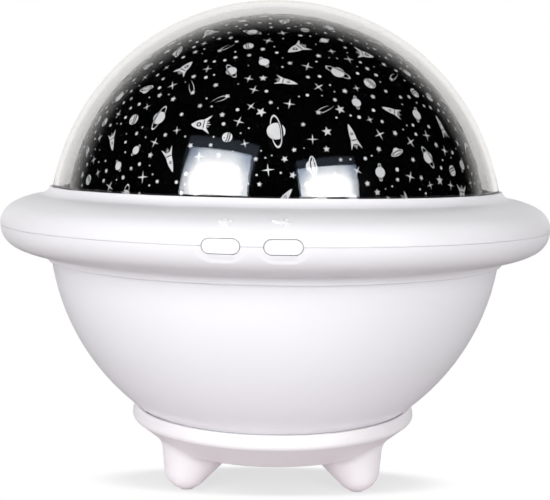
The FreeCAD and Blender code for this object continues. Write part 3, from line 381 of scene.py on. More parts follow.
# Painted highlight: the raised signs take a whiter copy of the shell plastic, standing in for the light their
# faces catch
SIGN_PAINTED_HIGHLIGHT = moulded("sign_painted_highlight", (0.96, 0.96, 0.965), 0.35, bump=0.02, Specular_IOR_Level=0.4)
PRINT_LIGHT = moulded("film_print", (0.40, 0.40, 0.405), 0.28, grain=2200.0, bump=0.05)
PRINT_DARK = moulded("film_ink", (0.008, 0.008, 0.009), 0.2, 0.05, grain=2200.0, bump=0.02)

for row in frame["record"]["subparts"]:
    node = NODES[row["node"]]
    node.data.materials.clear()
    # The base node takes the painted-light copy of the shell plastic instead of its slot's material
    node.data.materials.append(BASE_PAINTED_LIGHT if row["node"] == "base" else MATERIALS[row["material_slot"]])


# ---------------------------------------------------------------- flat motifs, in millimetres

def move_new(bm, known, change):
    """Applies a change of coordinates to the points made since the known count."""
    bm.verts.ensure_lookup_table()
    for vert in bm.verts[known:]:
        vert.co = Vector(change(vert.co))


def blob(bm, outline, points=24, x=0.0, y=0.0, layer=0):
    """A filled shape whose distance from its own middle is a function of the angle."""
    known = len(bm.verts)
    made = bmesh.ops.create_circle(bm, cap_ends=True, cap_tris=True, segments=points, radius=1.0)
    faces = {face for vert in made["verts"] for face in vert.link_faces}
    for face in faces:
        face.material_index = layer % 2

    def change(co):
        if co.length < 0.5:
            return (x, y, layer)
        reach = outline(math.atan2(co.y, co.x))
        return (x + co.x * reach, y + co.y * reach, layer)

    move_new(bm, known, change)


def ribbon(bm, left, right, steps=12, layer=0):
    """A band between two curves, each a function from 0 to 1."""
    known = len(bm.verts)
    made = bmesh.ops.create_grid(bm, x_segments=steps, y_segments=1, size=1.0)
    faces = {face for vert in made["verts"] for face in vert.link_faces}
    for face in faces:
        face.material_index = layer % 2

    def change(co):
        share = (co.x + 1) / 2
        side = left(share) if co.y < 0 else right(share)
        return (side[0], side[1], layer)

    move_new(bm, known, change)


def round_outline(radius):
    """A circle for blob."""
    return lambda angle: radius


def oval_outline(across, up):
    """A level oval for blob."""
    return lambda angle: 1.0 / math.hypot(math.cos(angle) / across, math.sin(angle) / up)


def star_outline(tips, outer, inner):
    """Straight-sided star: the outline has two points per tip."""
    def reach(angle):
        number = round((angle - math.pi / 2) / (math.pi / tips))
        return outer if number % 2 == 0 else inner
    return reach


def arc_points(radius, start, end, x=0.0, y=0.0, flat=1.0):
    """A curve from 0 to 1 along an arc; flat below 1 squeezes it to an oval."""
    def at(share):
        angle = math.radians(start + (end - start) * share)
        return x + radius * math.cos(angle), y + radius * flat * math.sin(angle)
    return at


def line_points(a, b):
    """A straight line from 0 to 1."""
    return lambda share: (a[0] + (b[0] - a[0]) * share, a[1] + (b[1] - a[1]) * share)


def turned_bm(bm, degrees):
    """Turns everything about the vertical through the origin."""
    bmesh.ops.rotate(bm, verts=bm.verts, cent=(0, 0, 0), matrix=Matrix.Rotation(math.radians(degrees), 3, "Z"))


def dot(radius):
    """A plain round dot."""
    bm = bmesh.new()
    blob(bm, round_outline(radius), 14)
    return bm


def five_star(radius):
    """A plain five-pointed star."""
    bm = bmesh.new()
    blob(bm, star_outline(5, radius, radius * 0.40), 10)
    return bm


def twinkle_outline(radius, shoulder, waist):
    """Four thin rays with hollow sides; the shoulder and the waist are shares of the radius."""
    rays = (radius, radius * shoulder, radius * waist, radius * shoulder)
    return lambda angle: rays[round(angle / (math.pi / 8)) % 4]


def twinkle(radius):
    """A four-rayed star."""
    bm = bmesh.new()
    blob(bm, twinkle_outline(radius, 0.27, 0.18), 16)
    return bm


def ringed_planet(radius, tilt):
    """A ball with an open ring round it; the ring's far side hides behind the ball."""
    bm = bmesh.new()
    blob(bm, round_outline(radius), 24)
    wide, flat = radius * 2.0, 0.30
    slim = wide * 0.88
    near = arc_points(wide, 168, 372, flat=flat)
    ribbon(bm, near, arc_points(slim, 168, 372, flat=flat), 24, 2)
    ribbon(bm, arc_points(wide, 196, 344, flat=flat * 1.28), near, 18, 1)
    ribbon(bm, arc_points(slim, 196, 344, flat=flat), arc_points(wide * 0.80, 196, 344, flat=flat * 0.9), 18, 1)
    for start, end in ((12, 62), (118, 168)):
        ribbon(bm, arc_points(wide, start, end, flat=flat), arc_points(slim, start, end, flat=flat), 8)
    turned_bm(bm, tilt)
    return bm


def capped_planet(radius, tilt):
    """A ball seen with its narrow ring nearly edge on: two small loops stick out of it."""
    bm = bmesh.new()
    blob(bm, round_outline(radius), 20)
    for side in (-1, 1):
        root, loop = side * radius * 0.9, side * radius * 1.32
        known = len(bm.verts)
        outer, inner = (arc_points(radius * share, -115, 115, x=loop) for share in (0.34, 0.20))
        ribbon(bm, outer, inner, 10)
        if side < 0:
            move_new(bm, known, lambda co: (2 * loop - co.x, co.y, co.z))
        for up in (-radius, radius):
            ribbon(bm, line_points((root, up * 0.20), (loop, up * 0.34)),
                   line_points((root, up * 0.08), (loop, up * 0.20)), 2)
    turned_bm(bm, tilt)
    return bm


def banded_planet(radius, tilt):
    """A ball with two dark bands and a dark spot."""
    bm = bmesh.new()
    blob(bm, round_outline(radius), 24)

    def bow(half, level):
        return lambda share: (half * (2 * share - 1), radius * (level + 0.16 * (1 - (2 * share - 1) ** 2)))

    for level, thick in ((0.30, 0.11), (-0.12, 0.09)):
        half = radius * math.sqrt(1 - level ** 2) * 0.96
        ribbon(bm, bow(half, level - thick), bow(half, level + thick), 10, 1)
    blob(bm, oval_outline(radius * 0.16, radius * 0.11), 12, radius * 0.25, -radius * 0.55, 1)
    turned_bm(bm, tilt)
    return bm


def rocket(length, fat, tilt):
    """A pointed hull with a round window, two swept fins and three exhaust streaks."""
    bm = bmesh.new()
    half = length / 2

    def hull(side):
        def at(share):
            x = -half * 0.55 + share * half * 1.55
            belly = math.sin(math.pi * min(1.0, 0.30 + 0.70 * share)) ** 0.8
            return x, side * fat / 2 * belly
        return at

    ribbon(bm, hull(-1), hull(1), 18)
    for side in (-fat, fat):
        ribbon(bm, line_points((-half * 0.05, side * 0.40), (-half * 0.95, side * 0.98)),
               line_points((-half * 0.50, side * 0.30), (-half * 0.72, side * 0.60)), 4)
    for level in (-0.24, 0.0, 0.24):
        reach = 0.95 if level == 0 else 0.80
        ribbon(bm, line_points((-half * 0.60, fat * (level - 0.06)), (-half * reach, fat * (level - 0.015))),
               line_points((-half * 0.60, fat * (level + 0.06)), (-half * reach, fat * (level + 0.015))), 3)
    blob(bm, round_outline(fat * 0.24), 14, half * 0.22, 0.0, 1)
    blob(bm, round_outline(fat * 0.12), 10, half * 0.22, 0.0, 2)
    ribbon(bm, line_points((-half * 0.30, -fat * 0.42), (-half * 0.30, fat * 0.42)),
           line_points((-half * 0.22, -fat * 0.44), (-half * 0.22, fat * 0.44)), 4, 1)
    turned_bm(bm, tilt)
    return bm


def saucer(width, tilt):
    """A domed craft over an oval brim with round lights."""
    bm = bmesh.new()
    blob(bm, round_outline(width * 0.27), 20, 0.0, width * 0.07)

    def oval(share, flat, start=0):
        return arc_points(width * share, start, 360, flat=flat)

    ribbon(bm, oval(0.5, 0.36), oval(0.43, 0.30), 28, 2)
    ribbon(bm, oval(0.43, 0.30), oval(0.36, 0.20), 28, 1)
    ribbon(bm, oval(0.36, 0.20, 180), oval(0.20, 0.10, 180), 16, 2)
    for angle in (205, 238, 270, 302, 335):
        x, y = arc_points(width * 0.39, angle, angle, flat=0.25)(0.0)
        blob(bm, round_outline(width * 0.028), 8, x, y, 2)
    turned_bm(bm, tilt)
    return bm


def comet(length, tilt):
    """A small star that draws two bowed streaks behind it."""
    bm = five_star(length * 0.17)

    def streak(side, edge):
        run = 0.80 if side > 0 else 0.80 * 0.72

        def at(share):
            bow = side * length * (0.10 + 0.05 * math.sin(math.pi * share))
            thick = edge * length * 0.022 * (1 - 0.92 * share)
            return -length * (0.12 + run * share), bow * (1 - 0.45 * share) + thick
        return at

    for side in (-1, 1):
        ribbon(bm, streak(side, -1), streak(side, 1), 8)
    turned_bm(bm, tilt)
    return bm


def crescent(radius, tilt):
    """A moon's sickle."""
    bm = bmesh.new()

    def inner(share):
        angle = math.radians(-112 + 224 * share)
        return radius * (math.cos(angle) * 0.74 - 0.108), radius * math.sin(angle)

    ribbon(bm, arc_points(radius, -112, 112), inner, 22)
    turned_bm(bm, tilt)
    return bm


def motif_deck(chance):
    """The motifs of the film, largest first, each with the room that it takes."""
    def turn():
        return chance.uniform(0, 360)

    deck = []
    for size in (3.3, 2.9):
        deck.append((crescent(size, turn()), size * 1.15))
    for number in range(38):
        size = chance.uniform(1.25, 1.75) * (1.35 if number % 9 == 0 else 1.0)
        deck.append((ringed_planet(size, turn()), size * 2.0))
    for number in range(44):
        fat = 1.5 if number % 2 else 2.5
        length = chance.uniform(5.4, 6.8) if number % 2 else chance.uniform(5.0, 6.2)
        deck.append((rocket(length, fat, turn()), length * 0.56))
    for number in range(30):
        deck.append((saucer(chance.uniform(3.6, 5.0), turn()), 2.5))
    for number in range(18):
        deck.append((comet(chance.uniform(4.4, 5.4), turn()), 2.7))
    for number in range(42):
        size = chance.uniform(1.0, 1.35)
        deck.append((capped_planet(size, turn()), size * 1.75))
    for number in range(32):
        size = chance.uniform(1.1, 1.75)
        deck.append((banded_planet(size, turn()), size * 1.1))
    for number in range(190):
        size = chance.uniform(1.05, 1.6)
        deck.append((twinkle(size), size * 0.85))
    for number in range(290):
        size = chance.uniform(0.62, 0.90) * (1.5 if number % 7 == 0 else 1.0)
        deck.append((five_star(size), size))
    for number in range(210):
        size = chance.uniform(0.38, 0.50)
        deck.append((dot(size), size))
    for number in range(330):
        size = chance.uniform(0.15, 0.28)
        deck.append((dot(size), size))
    return deck


def film_print():
    """Stamps every motif on the film's sphere, spread out evenly, and joins them to one thin print."""
    chance = random.Random(PRINT_SEED)
    throws = numpy.random.RandomState(PRINT_SEED)
    low = (PRINT_LOW_Z - FILM_Z) / FILM_RADIUS
    placed, rooms = numpy.zeros((0, 3)), numpy.zeros(0)
    centre = Vector((0, 0, FILM_Z))
    whole = bmesh.new()
    spare = bpy.data.meshes.new("motif")
    for motif, room in motif_deck(chance):
        level = throws.uniform(low, 1.0, PLACE_TRIES)
        angle = throws.uniform(-math.pi, math.pi, PLACE_TRIES)
        flat = numpy.sqrt(1 - level * level)
        spots = numpy.stack((flat * numpy.cos(angle), flat * numpy.sin(angle), level), axis=1)
        best = 0
        if len(rooms):
            apart = numpy.linalg.norm(spots[:, None] - placed[None], axis=2) * FILM_RADIUS
            clearance = (apart - rooms[None]).min(axis=1) - room
            best = int(clearance.argmax())
            if clearance[best] < LEAST_GAP:
                motif.free()
                continue
        placed, rooms = numpy.vstack((placed, spots[best])), numpy.append(rooms, room)
        spot, angle = Vector(spots[best]), float(angle[best])
        east = Vector((-math.sin(angle), math.cos(angle), 0.0))
        north = spot.cross(east)
        spin = Matrix.Rotation(chance.uniform(-MOTIF_TURN, MOTIF_TURN), 3, spot)
        east, north = spin @ east, spin @ north
        motif.to_mesh(spare)
        motif.free()
        known = len(whole.verts)
        whole.from_mesh(spare)
        whole.verts.ensure_lookup_table()
        for vert in whole.verts[known:]:
            x, y, layer = vert.co
            way = (spot * FILM_RADIUS + east * x + north * y).normalized()
            vert.co = way * (FILM_RADIUS + INK_LIFT + LAYER_LIFT * layer) + centre
    bpy.data.meshes.remove(spare)
    bmesh.ops.recalc_face_normals(whole, faces=whole.faces)
    for face in whole.faces:
        if face.normal.dot(face.calc_center_median() - centre) < 0:
            face.normal_flip()
    bmesh.ops.bisect_plane(whole, geom=whole.verts[:] + whole.edges[:] + whole.faces[:], dist=1e-5,
                           plane_co=(0, 0, INK_LOW_Z), plane_no=(0, 0, -1), clear_outer=True)
    return whole


def piece(name, bm, materials, body, replaced=(), sharp=35.0):
    """Turns a bmesh in millimetres into a finished piece that rides on a body."""
    bmesh.ops.scale(bm, verts=bm.verts, vec=(MM, MM, MM))
    mesh = bpy.data.meshes.new(name)
    bm.to_mesh(mesh)
    bm.free()
    for material in materials:
        mesh.materials.append(material)
    for polygon in mesh.polygons:
        polygon.use_smooth = True
    mesh.set_sharp_from_angle(angle=math.radians(sharp))
    obj = bpy.data.objects.new(name, mesh)
    bpy.context.scene.collection.objects.link(obj)
    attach(obj, body)
    if replaced:
        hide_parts(*replaced)
    return obj


# ---------------------------------------------------------------- saucer ring and buttons, in millimetres

def arc_run(start, turns, side, inset=0.0, step=3.0):
    """Points of tangent arcs from the rim inwards, as (r, z); side is -1 below the parting line."""
    angle = math.pi / 2
    r, z = start[0] - inset, start[1]
    run = [(r, z)]
    for radius, turn in turns:
        sign = 1 if turn > 0 else -1
        bend = radius - sign * inset
        middle = (r - sign * bend * math.sin(angle), z + side * sign * bend * math.cos(angle))
        count = math.ceil(abs(turn) / step)
        for number in range(1, count + 1):
            at = angle + math.radians(turn) * number / count
            run.append((middle[0] + sign * bend * math.sin(at),
                        middle[1] - side * sign * bend * math.cos(at)))
        angle += math.radians(turn)
        r, z = run[-1]
    return run


def spun_shell(profile):
    """A closed (r, z) outline turned once round the axis."""
    bm = bmesh.new()
    verts = [bm.verts.new((r, 0.0, z)) for r, z in profile]
    edges = [bm.edges.new((a, b)) for a, b in zip(verts, verts[1:] + verts[:1])]
    bmesh.ops.spin(bm, geom=verts + edges, cent=(0, 0, 0), axis=(0, 0, 1), angle=2 * math.pi,
                   steps=RING_STEPS, use_merge=True)
    bmesh.ops.recalc_face_normals(bm, faces=bm.faces)
    return bm


def stadium_distance(u, v, size):
    """Distance outside a level stadium of the given width and height, negative inside it."""
    straight = (size[0] - size[1]) / 2
    return math.hypot(max(abs(u) - straight, 0.0), v) - size[1] / 2


def sink_dishes(bm):
    """Presses a soft shallow dish round each button into the outer skin."""
    front = math.radians(FRONT_ANGLE)
    for vert in bm.verts:
        reach = math.hypot(vert.co.x, vert.co.y)
        way = math.atan2(vert.co.y, vert.co.x) - front
        v = vert.co.z - PARTING_Z
        if abs(way) > DISH_ZONE[0] or abs(v) > DISH_ZONE[1] or reach < RING_RADIUS - DISH_ZONE[2]:
            continue
        u = min((reach * way - side for side in BUTTON_SIDES), key=abs)
        share = (DISH_BLUR / 2 - stadium_distance(u, v, DISH_SIZE)) / DISH_BLUR
        share = min(max(share, 0.0), 1.0)
        depth = DISH_DEPTH * share * share * (3 - 2 * share)
        vert.co.x *= 1 - depth / reach
        vert.co.y *= 1 - depth / reach


def stadium_bar(size, near, far, side, angle):
    """A bar of stadium section that points outwards, level with the parting line."""
    bm = bmesh.new()
    straight = (size[0] - size[1]) / 2
    bmesh.ops.create_circle(bm, cap_ends=True, segments=64, radius=size[1] / 2)
    for vert in bm.verts:
        shift = math.copysign(straight, vert.co.x) if abs(vert.co.x) > 1e-5 else 0.0
        vert.co = Vector((near, side + vert.co.x + shift, PARTING_Z + vert.co.y))
    made = bmesh.ops.extrude_face_region(bm, geom=bm.faces[:])
    bmesh.ops.translate(bm, vec=(far - near, 0, 0),
                        verts=[part for part in made["geom"] if isinstance(part, bmesh.types.BMVert)])
    bmesh.ops.recalc_face_normals(bm, faces=bm.faces)
    turned_bm(bm, angle)
    return bm


def with_openings(obj):
    """Cuts the button holes and the socket's opening out of a shell."""
    gap = (BUTTON_SIZE[0] + 2 * BUTTON_GAP, BUTTON_SIZE[1] + 2 * BUTTON_GAP)
    bars = [stadium_bar(gap, *BAR_REACH, side, FRONT_ANGLE) for side in BUTTON_SIDES]
    bars.append(stadium_bar(USB_OPENING, *BAR_REACH, 0.0, USB_ANGLE))
    cutters = []
    for bar in bars:
        bmesh.ops.scale(bar, verts=bar.verts, vec=(MM, MM, MM))
        mesh = bpy.data.meshes.new("cutter")
        bar.to_mesh(mesh)
        bar.free()
        cutter = bpy.data.objects.new("cutter", mesh)
        bpy.context.scene.collection.objects.link(cutter)
        cut = obj.modifiers.new("opening", "BOOLEAN")
        cut.object = cutter
        cut.operation = "DIFFERENCE"
        cut.solver = "EXACT"
        cutters.append(cutter)
    whole = obj.evaluated_get(bpy.context.evaluated_depsgraph_get())
    cut_mesh = bpy.data.meshes.new_from_object(whole)
    obj.modifiers.clear()
    obj.data = cut_mesh
    for cutter in cutters:
        bpy.data.objects.remove(cutter)


def ring_shells():
    """Upper and lower shell with a narrow groove between them, soft dishes and openings."""
    inner = RING_RADIUS - RING_WALL
    upper_start = (RING_RADIUS, PARTING_Z + CHAMFER)
    upper = arc_run(upper_start, UPPER_TURNS, 1)
    upper += [(SOCKET_RADIUS, upper[-1][1]), (SOCKET_RADIUS, LEDGE_Z), (LEDGE_RADIUS, LEDGE_Z),
              (LEDGE_RADIUS, LEDGE_UNDER_Z), (SOCKET_RADIUS, LEDGE_UNDER_Z), (SOCKET_RADIUS, DECK_TOP_Z),
              (SOCKET_RADIUS + LIP_WALL, DECK_TOP_Z)]
    upper += arc_run(upper_start, UPPER_TURNS[:2], 1, RING_WALL, 10.0)[::-1]
    upper += [(inner, PARTING_Z), (RING_RADIUS - GROOVE_DEPTH, PARTING_Z),
              (RING_RADIUS, PARTING_Z + GROOVE_HALF)]
    lower_start = (RING_RADIUS, PARTING_Z - CHAMFER)
    lower = arc_run(lower_start, LOWER_TURNS[:3], -1) + arc_run(lower_start, LOWER_TURNS, -1, step=14.0)[-6:]
    room = arc_run(lower_start, LOWER_TURNS[:2], -1, RING_WALL, 10.0)
    lower += [(LOWER_LIP_RADIUS, lower[-1][1]), (LOWER_LIP_RADIUS, BOWL_FLANGE_Z),
              (room[-1][0], BOWL_FLANGE_Z)]
    lower += room[::-1] + [(inner, PARTING_Z), (RING_RADIUS - GROOVE_DEPTH, PARTING_Z),
                           (RING_RADIUS, PARTING_Z - GROOVE_HALF)]
    for name, profile in (("upper_ring", upper), ("lower_ring", lower)):
        bm = spun_shell(profile)
        sink_dishes(bm)
        shell = piece(name + "_shell", bm, [MATERIALS["white_shell"]], "housing", (name,), 28.0)
        with_openings(shell)


def rim_reach(u, v):
    """Distance of the ring's rim along the outward direction, u sideways and v above the parting line."""
    bend = UPPER_TURNS[0][0] if v > 0 else LOWER_TURNS[0][0]
    return math.sqrt(RING_RADIUS ** 2 - u ** 2) - bend + math.sqrt(bend ** 2 - v ** 2)


def button_cap(side):
    """A cap with rounded edges whose face follows the rim, with the flange that keeps it in."""
    bm = bmesh.new()
    straight = (BUTTON_SIZE[0] - BUTTON_SIZE[1]) / 2
    half = BUTTON_SIZE[1] / 2
    bmesh.ops.create_circle(bm, cap_ends=True, segments=64, radius=half)
    face = bm.faces[:]
    insets = [BUTTON_ROUND * share for share in (0.06, 0.15, 0.25, 0.35)] + [half * 0.3]
    for inset in insets:
        bmesh.ops.inset_region(bm, faces=face, thickness=inset, use_even_offset=True)
    bmesh.ops.triangulate(bm, faces=face)
    for vert in bm.verts:
        flat = math.hypot(vert.co.x, vert.co.y)
        edge = max(BUTTON_ROUND - (half - flat), 0.0)
        drop = BUTTON_ROUND - math.sqrt(max(BUTTON_ROUND ** 2 - edge ** 2, 0.0))
        u = vert.co.x + (math.copysign(straight, vert.co.x) if abs(vert.co.x) > 1e-5 else 0.0)
        vert.co = Vector((rim_reach(side + u, vert.co.y) - drop, side + u, PARTING_Z + vert.co.y))
    rim = [edge for edge in bm.edges if edge.is_boundary]
    made = bmesh.ops.extrude_edge_only(bm, edges=rim)
    for part in made["geom"]:
        if isinstance(part, bmesh.types.BMVert):
            part.co.x = CAP_BACK
    bmesh.ops.contextual_create(bm, geom=[edge for edge in bm.edges if edge.is_boundary])
    bmesh.ops.recalc_face_normals(bm, faces=bm.faces)
    turned_bm(bm, FRONT_ANGLE)
    flange = (BUTTON_SIZE[0] + 2 * BUTTON_FLANGE, BUTTON_SIZE[1] + 2 * BUTTON_FLANGE)
    bar = stadium_bar(flange, BUTTON_BACK, FLANGE_FACE, side, FRONT_ANGLE)
    spare = bpy.data.meshes.new("flange")
    bar.to_mesh(spare)
    bar.free()
    bm.from_mesh(spare)
    bpy.data.meshes.remove(spare)
    return bm


ring_shells()
for key, side in zip(("night", "star"), BUTTON_SIDES):
    piece(key + "_cap", button_cap(side), [MATERIALS["white_shell"]], key + "_key",
          (key + "_button",), 40.0)


# ---------------------------------------------------------------- raised signs over the buttons

def on_slope(around, along, lift):
    """A point on the ring's upper face: millimetres round the ring, along its slope, and off it."""
    rim_arc, slope_arc = UPPER_TURNS[0][0], UPPER_TURNS[1][0]
    turn = math.radians(UPPER_TURNS[0][1])
    centre = Vector((RING_RADIUS - rim_arc, PARTING_Z + CHAMFER))
    if along < 0:
        bend, angle = rim_arc, turn + along / rim_arc
    else:
        centre -= (slope_arc - rim_arc) * Vector((math.cos(turn), math.sin(turn)))
        bend, angle = slope_arc, turn + along / slope_arc
    r = centre.x + (bend + lift) * math.cos(angle)
    z = centre.y + (bend + lift) * math.sin(angle)
    way = math.radians(FRONT_ANGLE) + around / RING_RADIUS
    return r * math.cos(way), r * math.sin(way), z


def raised_sign(name, bm, around):
    """Closes a flat sign into a raised one and lays it on the slope over its button, in a whiter copy of the
    shell plastic that paints a highlight on it.
    """
    bmesh.ops.remove_doubles(bm, verts=bm.verts, dist=0.002)
    rims = [edge for edge in bm.edges if edge.is_boundary]
    made = bmesh.ops.extrude_edge_only(bm, edges=rims)
    walls = {part for part in made["geom"] if isinstance(part, bmesh.types.BMVert)}
    bmesh.ops.holes_fill(bm, edges=[edge for edge in bm.edges if edge.is_boundary], sides=0)
    for vert in bm.verts:
        lift = SIGN_FOOT if vert in walls else SIGN_FACE
        vert.co = on_slope(around + vert.co.x, SIGN_ALONG + vert.co.y, lift)
    bmesh.ops.recalc_face_normals(bm, faces=bm.faces)
    # The sign's whiter plastic is a painted highlight
    piece(name, bm, [SIGN_PAINTED_HIGHLIGHT], "housing")


def lamp_sign():
    """A small half globe on a brim, with three short rays over it."""
    bm = bmesh.new()
    blob(bm, lambda a: 0.72 if math.sin(a) > -0.1 else 0.45, 24, 0.0, -0.1)
    for angle in (22, 90, 158):
        way = math.radians(angle)
        side = Vector((-math.sin(way), math.cos(way))) * 0.15
        near = Vector((math.cos(way), math.sin(way) * 0.85 - 0.1))
        far = near * 1.65
        ribbon(bm, line_points(near - side, far - side), line_points(near + side, far + side), 2)
    ribbon(bm, line_points((-0.95, -1.0), (0.95, -1.0)), line_points((-0.95, -0.72), (0.95, -0.72)), 2)
    return bm


def star_sign():
    """A large four-rayed sparkle between two small ones."""
    bm = bmesh.new()
    for x, y, size in ((0.0, 0.0, 1.45), (-1.45, 0.55, 0.72), (1.45, -0.50, 0.72), (1.15, 0.95, 0.45)):
        blob(bm, twinkle_outline(size, 0.34, 0.26), 16, x, y)
    return bm


piece("star_print", film_print(), [PRINT_LIGHT, PRINT_DARK], "turntable")
raised_sign("lamp_sign", lamp_sign(), BUTTON_SIDES[0] + SIGN_NEARER)
raised_sign("star_sign", star_sign(), BUTTON_SIDES[1] - SIGN_NEARER)


# ---------------------------------------------------------------- studio

def add_camera():
    """The eye in front of the lamp: a near view through a long lens."""
    camera = bpy.data.objects.new("camera", bpy.data.cameras.new("camera"))
    bpy.context.scene.collection.objects.link(camera)
    camera.data.sensor_width = SENSOR_WIDTH
    camera.data.lens = EYE_FOCAL / PICTURE_WIDTH * SENSOR_WIDTH
    camera.data.clip_start = 0.01
    camera.data.clip_end = 50.0
    ahead = Vector((0.0, math.cos(EYE_TILT), -math.sin(EYE_TILT)))
    up = Vector((0.0, math.sin(EYE_TILT), math.cos(EYE_TILT)))
    lean = Matrix.Rotation(-EYE_LEAN, 3, ahead)
    up = lean @ up
    right = ahead.cross(up)
    turn = Matrix((right, up, -ahead)).transposed().to_4x4()
    camera.matrix_world = Matrix.Translation((0.0, -EYE_DISTANCE, EYE_HEIGHT)) @ turn
    bpy.context.scene.camera = camera


def lamp_at(name, azimuth, elevation, distance, width, height, power):
    """An area lamp that faces the middle of the lamp body."""
    data = bpy.data.lights.new(name, "AREA")
    data.shape = "RECTANGLE"
    data.size = width
    data.size_y = height
    data.energy = power
    lamp = bpy.data.objects.new(name, data)
    bpy.context.scene.collection.objects.link(lamp)
    a, e = math.radians(azimuth), math.radians(elevation)
    back = Vector((math.sin(a) * math.cos(e), -math.cos(a) * math.cos(e), math.sin(e)))
    aim = Vector((0, 0, LAMP_AIM_Z))
    lamp.matrix_world = (Matrix.Translation(aim + back * distance)
                         @ (-back).to_track_quat("-Z", "Y").to_matrix().to_4x4())
    return lamp


def fill(name, azimuth, elevation, distance, width, height, power):
    """A soft lamp that lights surfaces but isn't mirrored in them."""
    lamp = lamp_at(name, azimuth, elevation, distance, width, height, power)
    lamp.visible_glossy = False
    lamp.visible_transmission = False


def softbox(name, azimuth, elevation, distance, width, height, power, taper=0.0):
    """A lamp that is only mirrored: bright low in the middle, cool to its edges, with a faint rim above."""
    lamp = lamp_at(name, azimuth, elevation, distance, width, height, power)
    lamp.visible_diffuse = False
    lamp.data.use_nodes = True
    tree = lamp.data.node_tree
    glow = tree.nodes["Emission"]
    place = tree.nodes.new("ShaderNodeNewGeometry")
    split = tree.nodes.new("ShaderNodeSeparateXYZ")
    tree.links.new(place.outputs["Parametric"], split.inputs[0])
    up = split.outputs["Y"]
    across = calculated(tree, "ABSOLUTE", calculated(tree, "SUBTRACT", split.outputs["X"], 0.5), 0.0)
    across = calculated(tree, "ADD", across, calculated(tree, "MULTIPLY", up, taper / 2))
    sides = calculated(tree, "MULTIPLY", ranged(tree, across, 0.5, 0.22, 0.52, 1.0),
                       ranged(tree, across, 0.502, 0.494))
    core = ranged(tree, up, SOFTBOX_TOP, 0.25, 0.50, 1.0)
    rim = ranged(tree, up, SOFTBOX_TOP + 0.004, SOFTBOX_TOP - 0.004, 0.0, 1.0)
    bright = calculated(tree, "MULTIPLY", calculated(tree, "MULTIPLY", sides, core), rim)
    tree.links.new(calculated(tree, "ADD", bright, SOFTBOX_RIM), glow.inputs["Strength"])
    tint = mixed_colour(tree, ranged(tree, bright, 0.1, 0.75), SOFTBOX_EDGE, WHITE)
    tree.links.new(tint, glow.inputs["Color"])


def seen_directly(tree):
    """1 for a ray that comes straight from the eye or only through clear plastic, 0 for any other."""
    path = tree.nodes.new("ShaderNodeLightPath")
    unmirrored = calculated(tree, "LESS_THAN", path.outputs["Glossy Depth"], 0.5)
    through = calculated(tree, "MULTIPLY", path.outputs["Is Transmission Ray"], unmirrored)
    return calculated(tree, "MAXIMUM", path.outputs["Is Camera Ray"], through)


def ranged(tree, value, low, high, to_low=0.0, to_high=1.0):
    """A soft step between two values."""
    step = tree.nodes.new("ShaderNodeMapRange")
    step.interpolation_type = "SMOOTHSTEP"
    for label, number in (("From Min", low), ("From Max", high), ("To Min", to_low), ("To Max", to_high)):
        step.inputs[label].default_value = number
    tree.links.new(value, step.inputs["Value"])
    return step.outputs[0]


def calculated(tree, operation, first, second):
    """A sum, product or the like of two values, each a socket or a number."""
    math_node = tree.nodes.new("ShaderNodeMath")
    math_node.operation = operation
    for place, value in zip(math_node.inputs, (first, second)):
        if isinstance(value, float):
            place.default_value = value
        else:
            tree.links.new(value, place)
    return math_node.outputs[0]


def mixed_colour(tree, factor, first, second):
    """The first colour where the factor is 0, the second where it is 1."""
    mix = tree.nodes.new("ShaderNodeMix")
    mix.data_type = "RGBA"
    mix.inputs[6].default_value = first
    mix.inputs[7].default_value = second
    tree.links.new(factor, mix.inputs["Factor"])
    return mix.outputs[2]


def blended(tree, factor, first, second):
    """The first value where the factor is 0, the second where it is 1."""
    mix = tree.nodes.new("ShaderNodeMix")
    mix.data_type = "FLOAT"
    tree.links.new(factor, mix.inputs["Factor"])
    for label, value in (("A", first), ("B", second)):
        if isinstance(value, float):
            mix.inputs[label].default_value = value
        else:
            tree.links.new(value, mix.inputs[label])
    return mix.outputs["Result"]


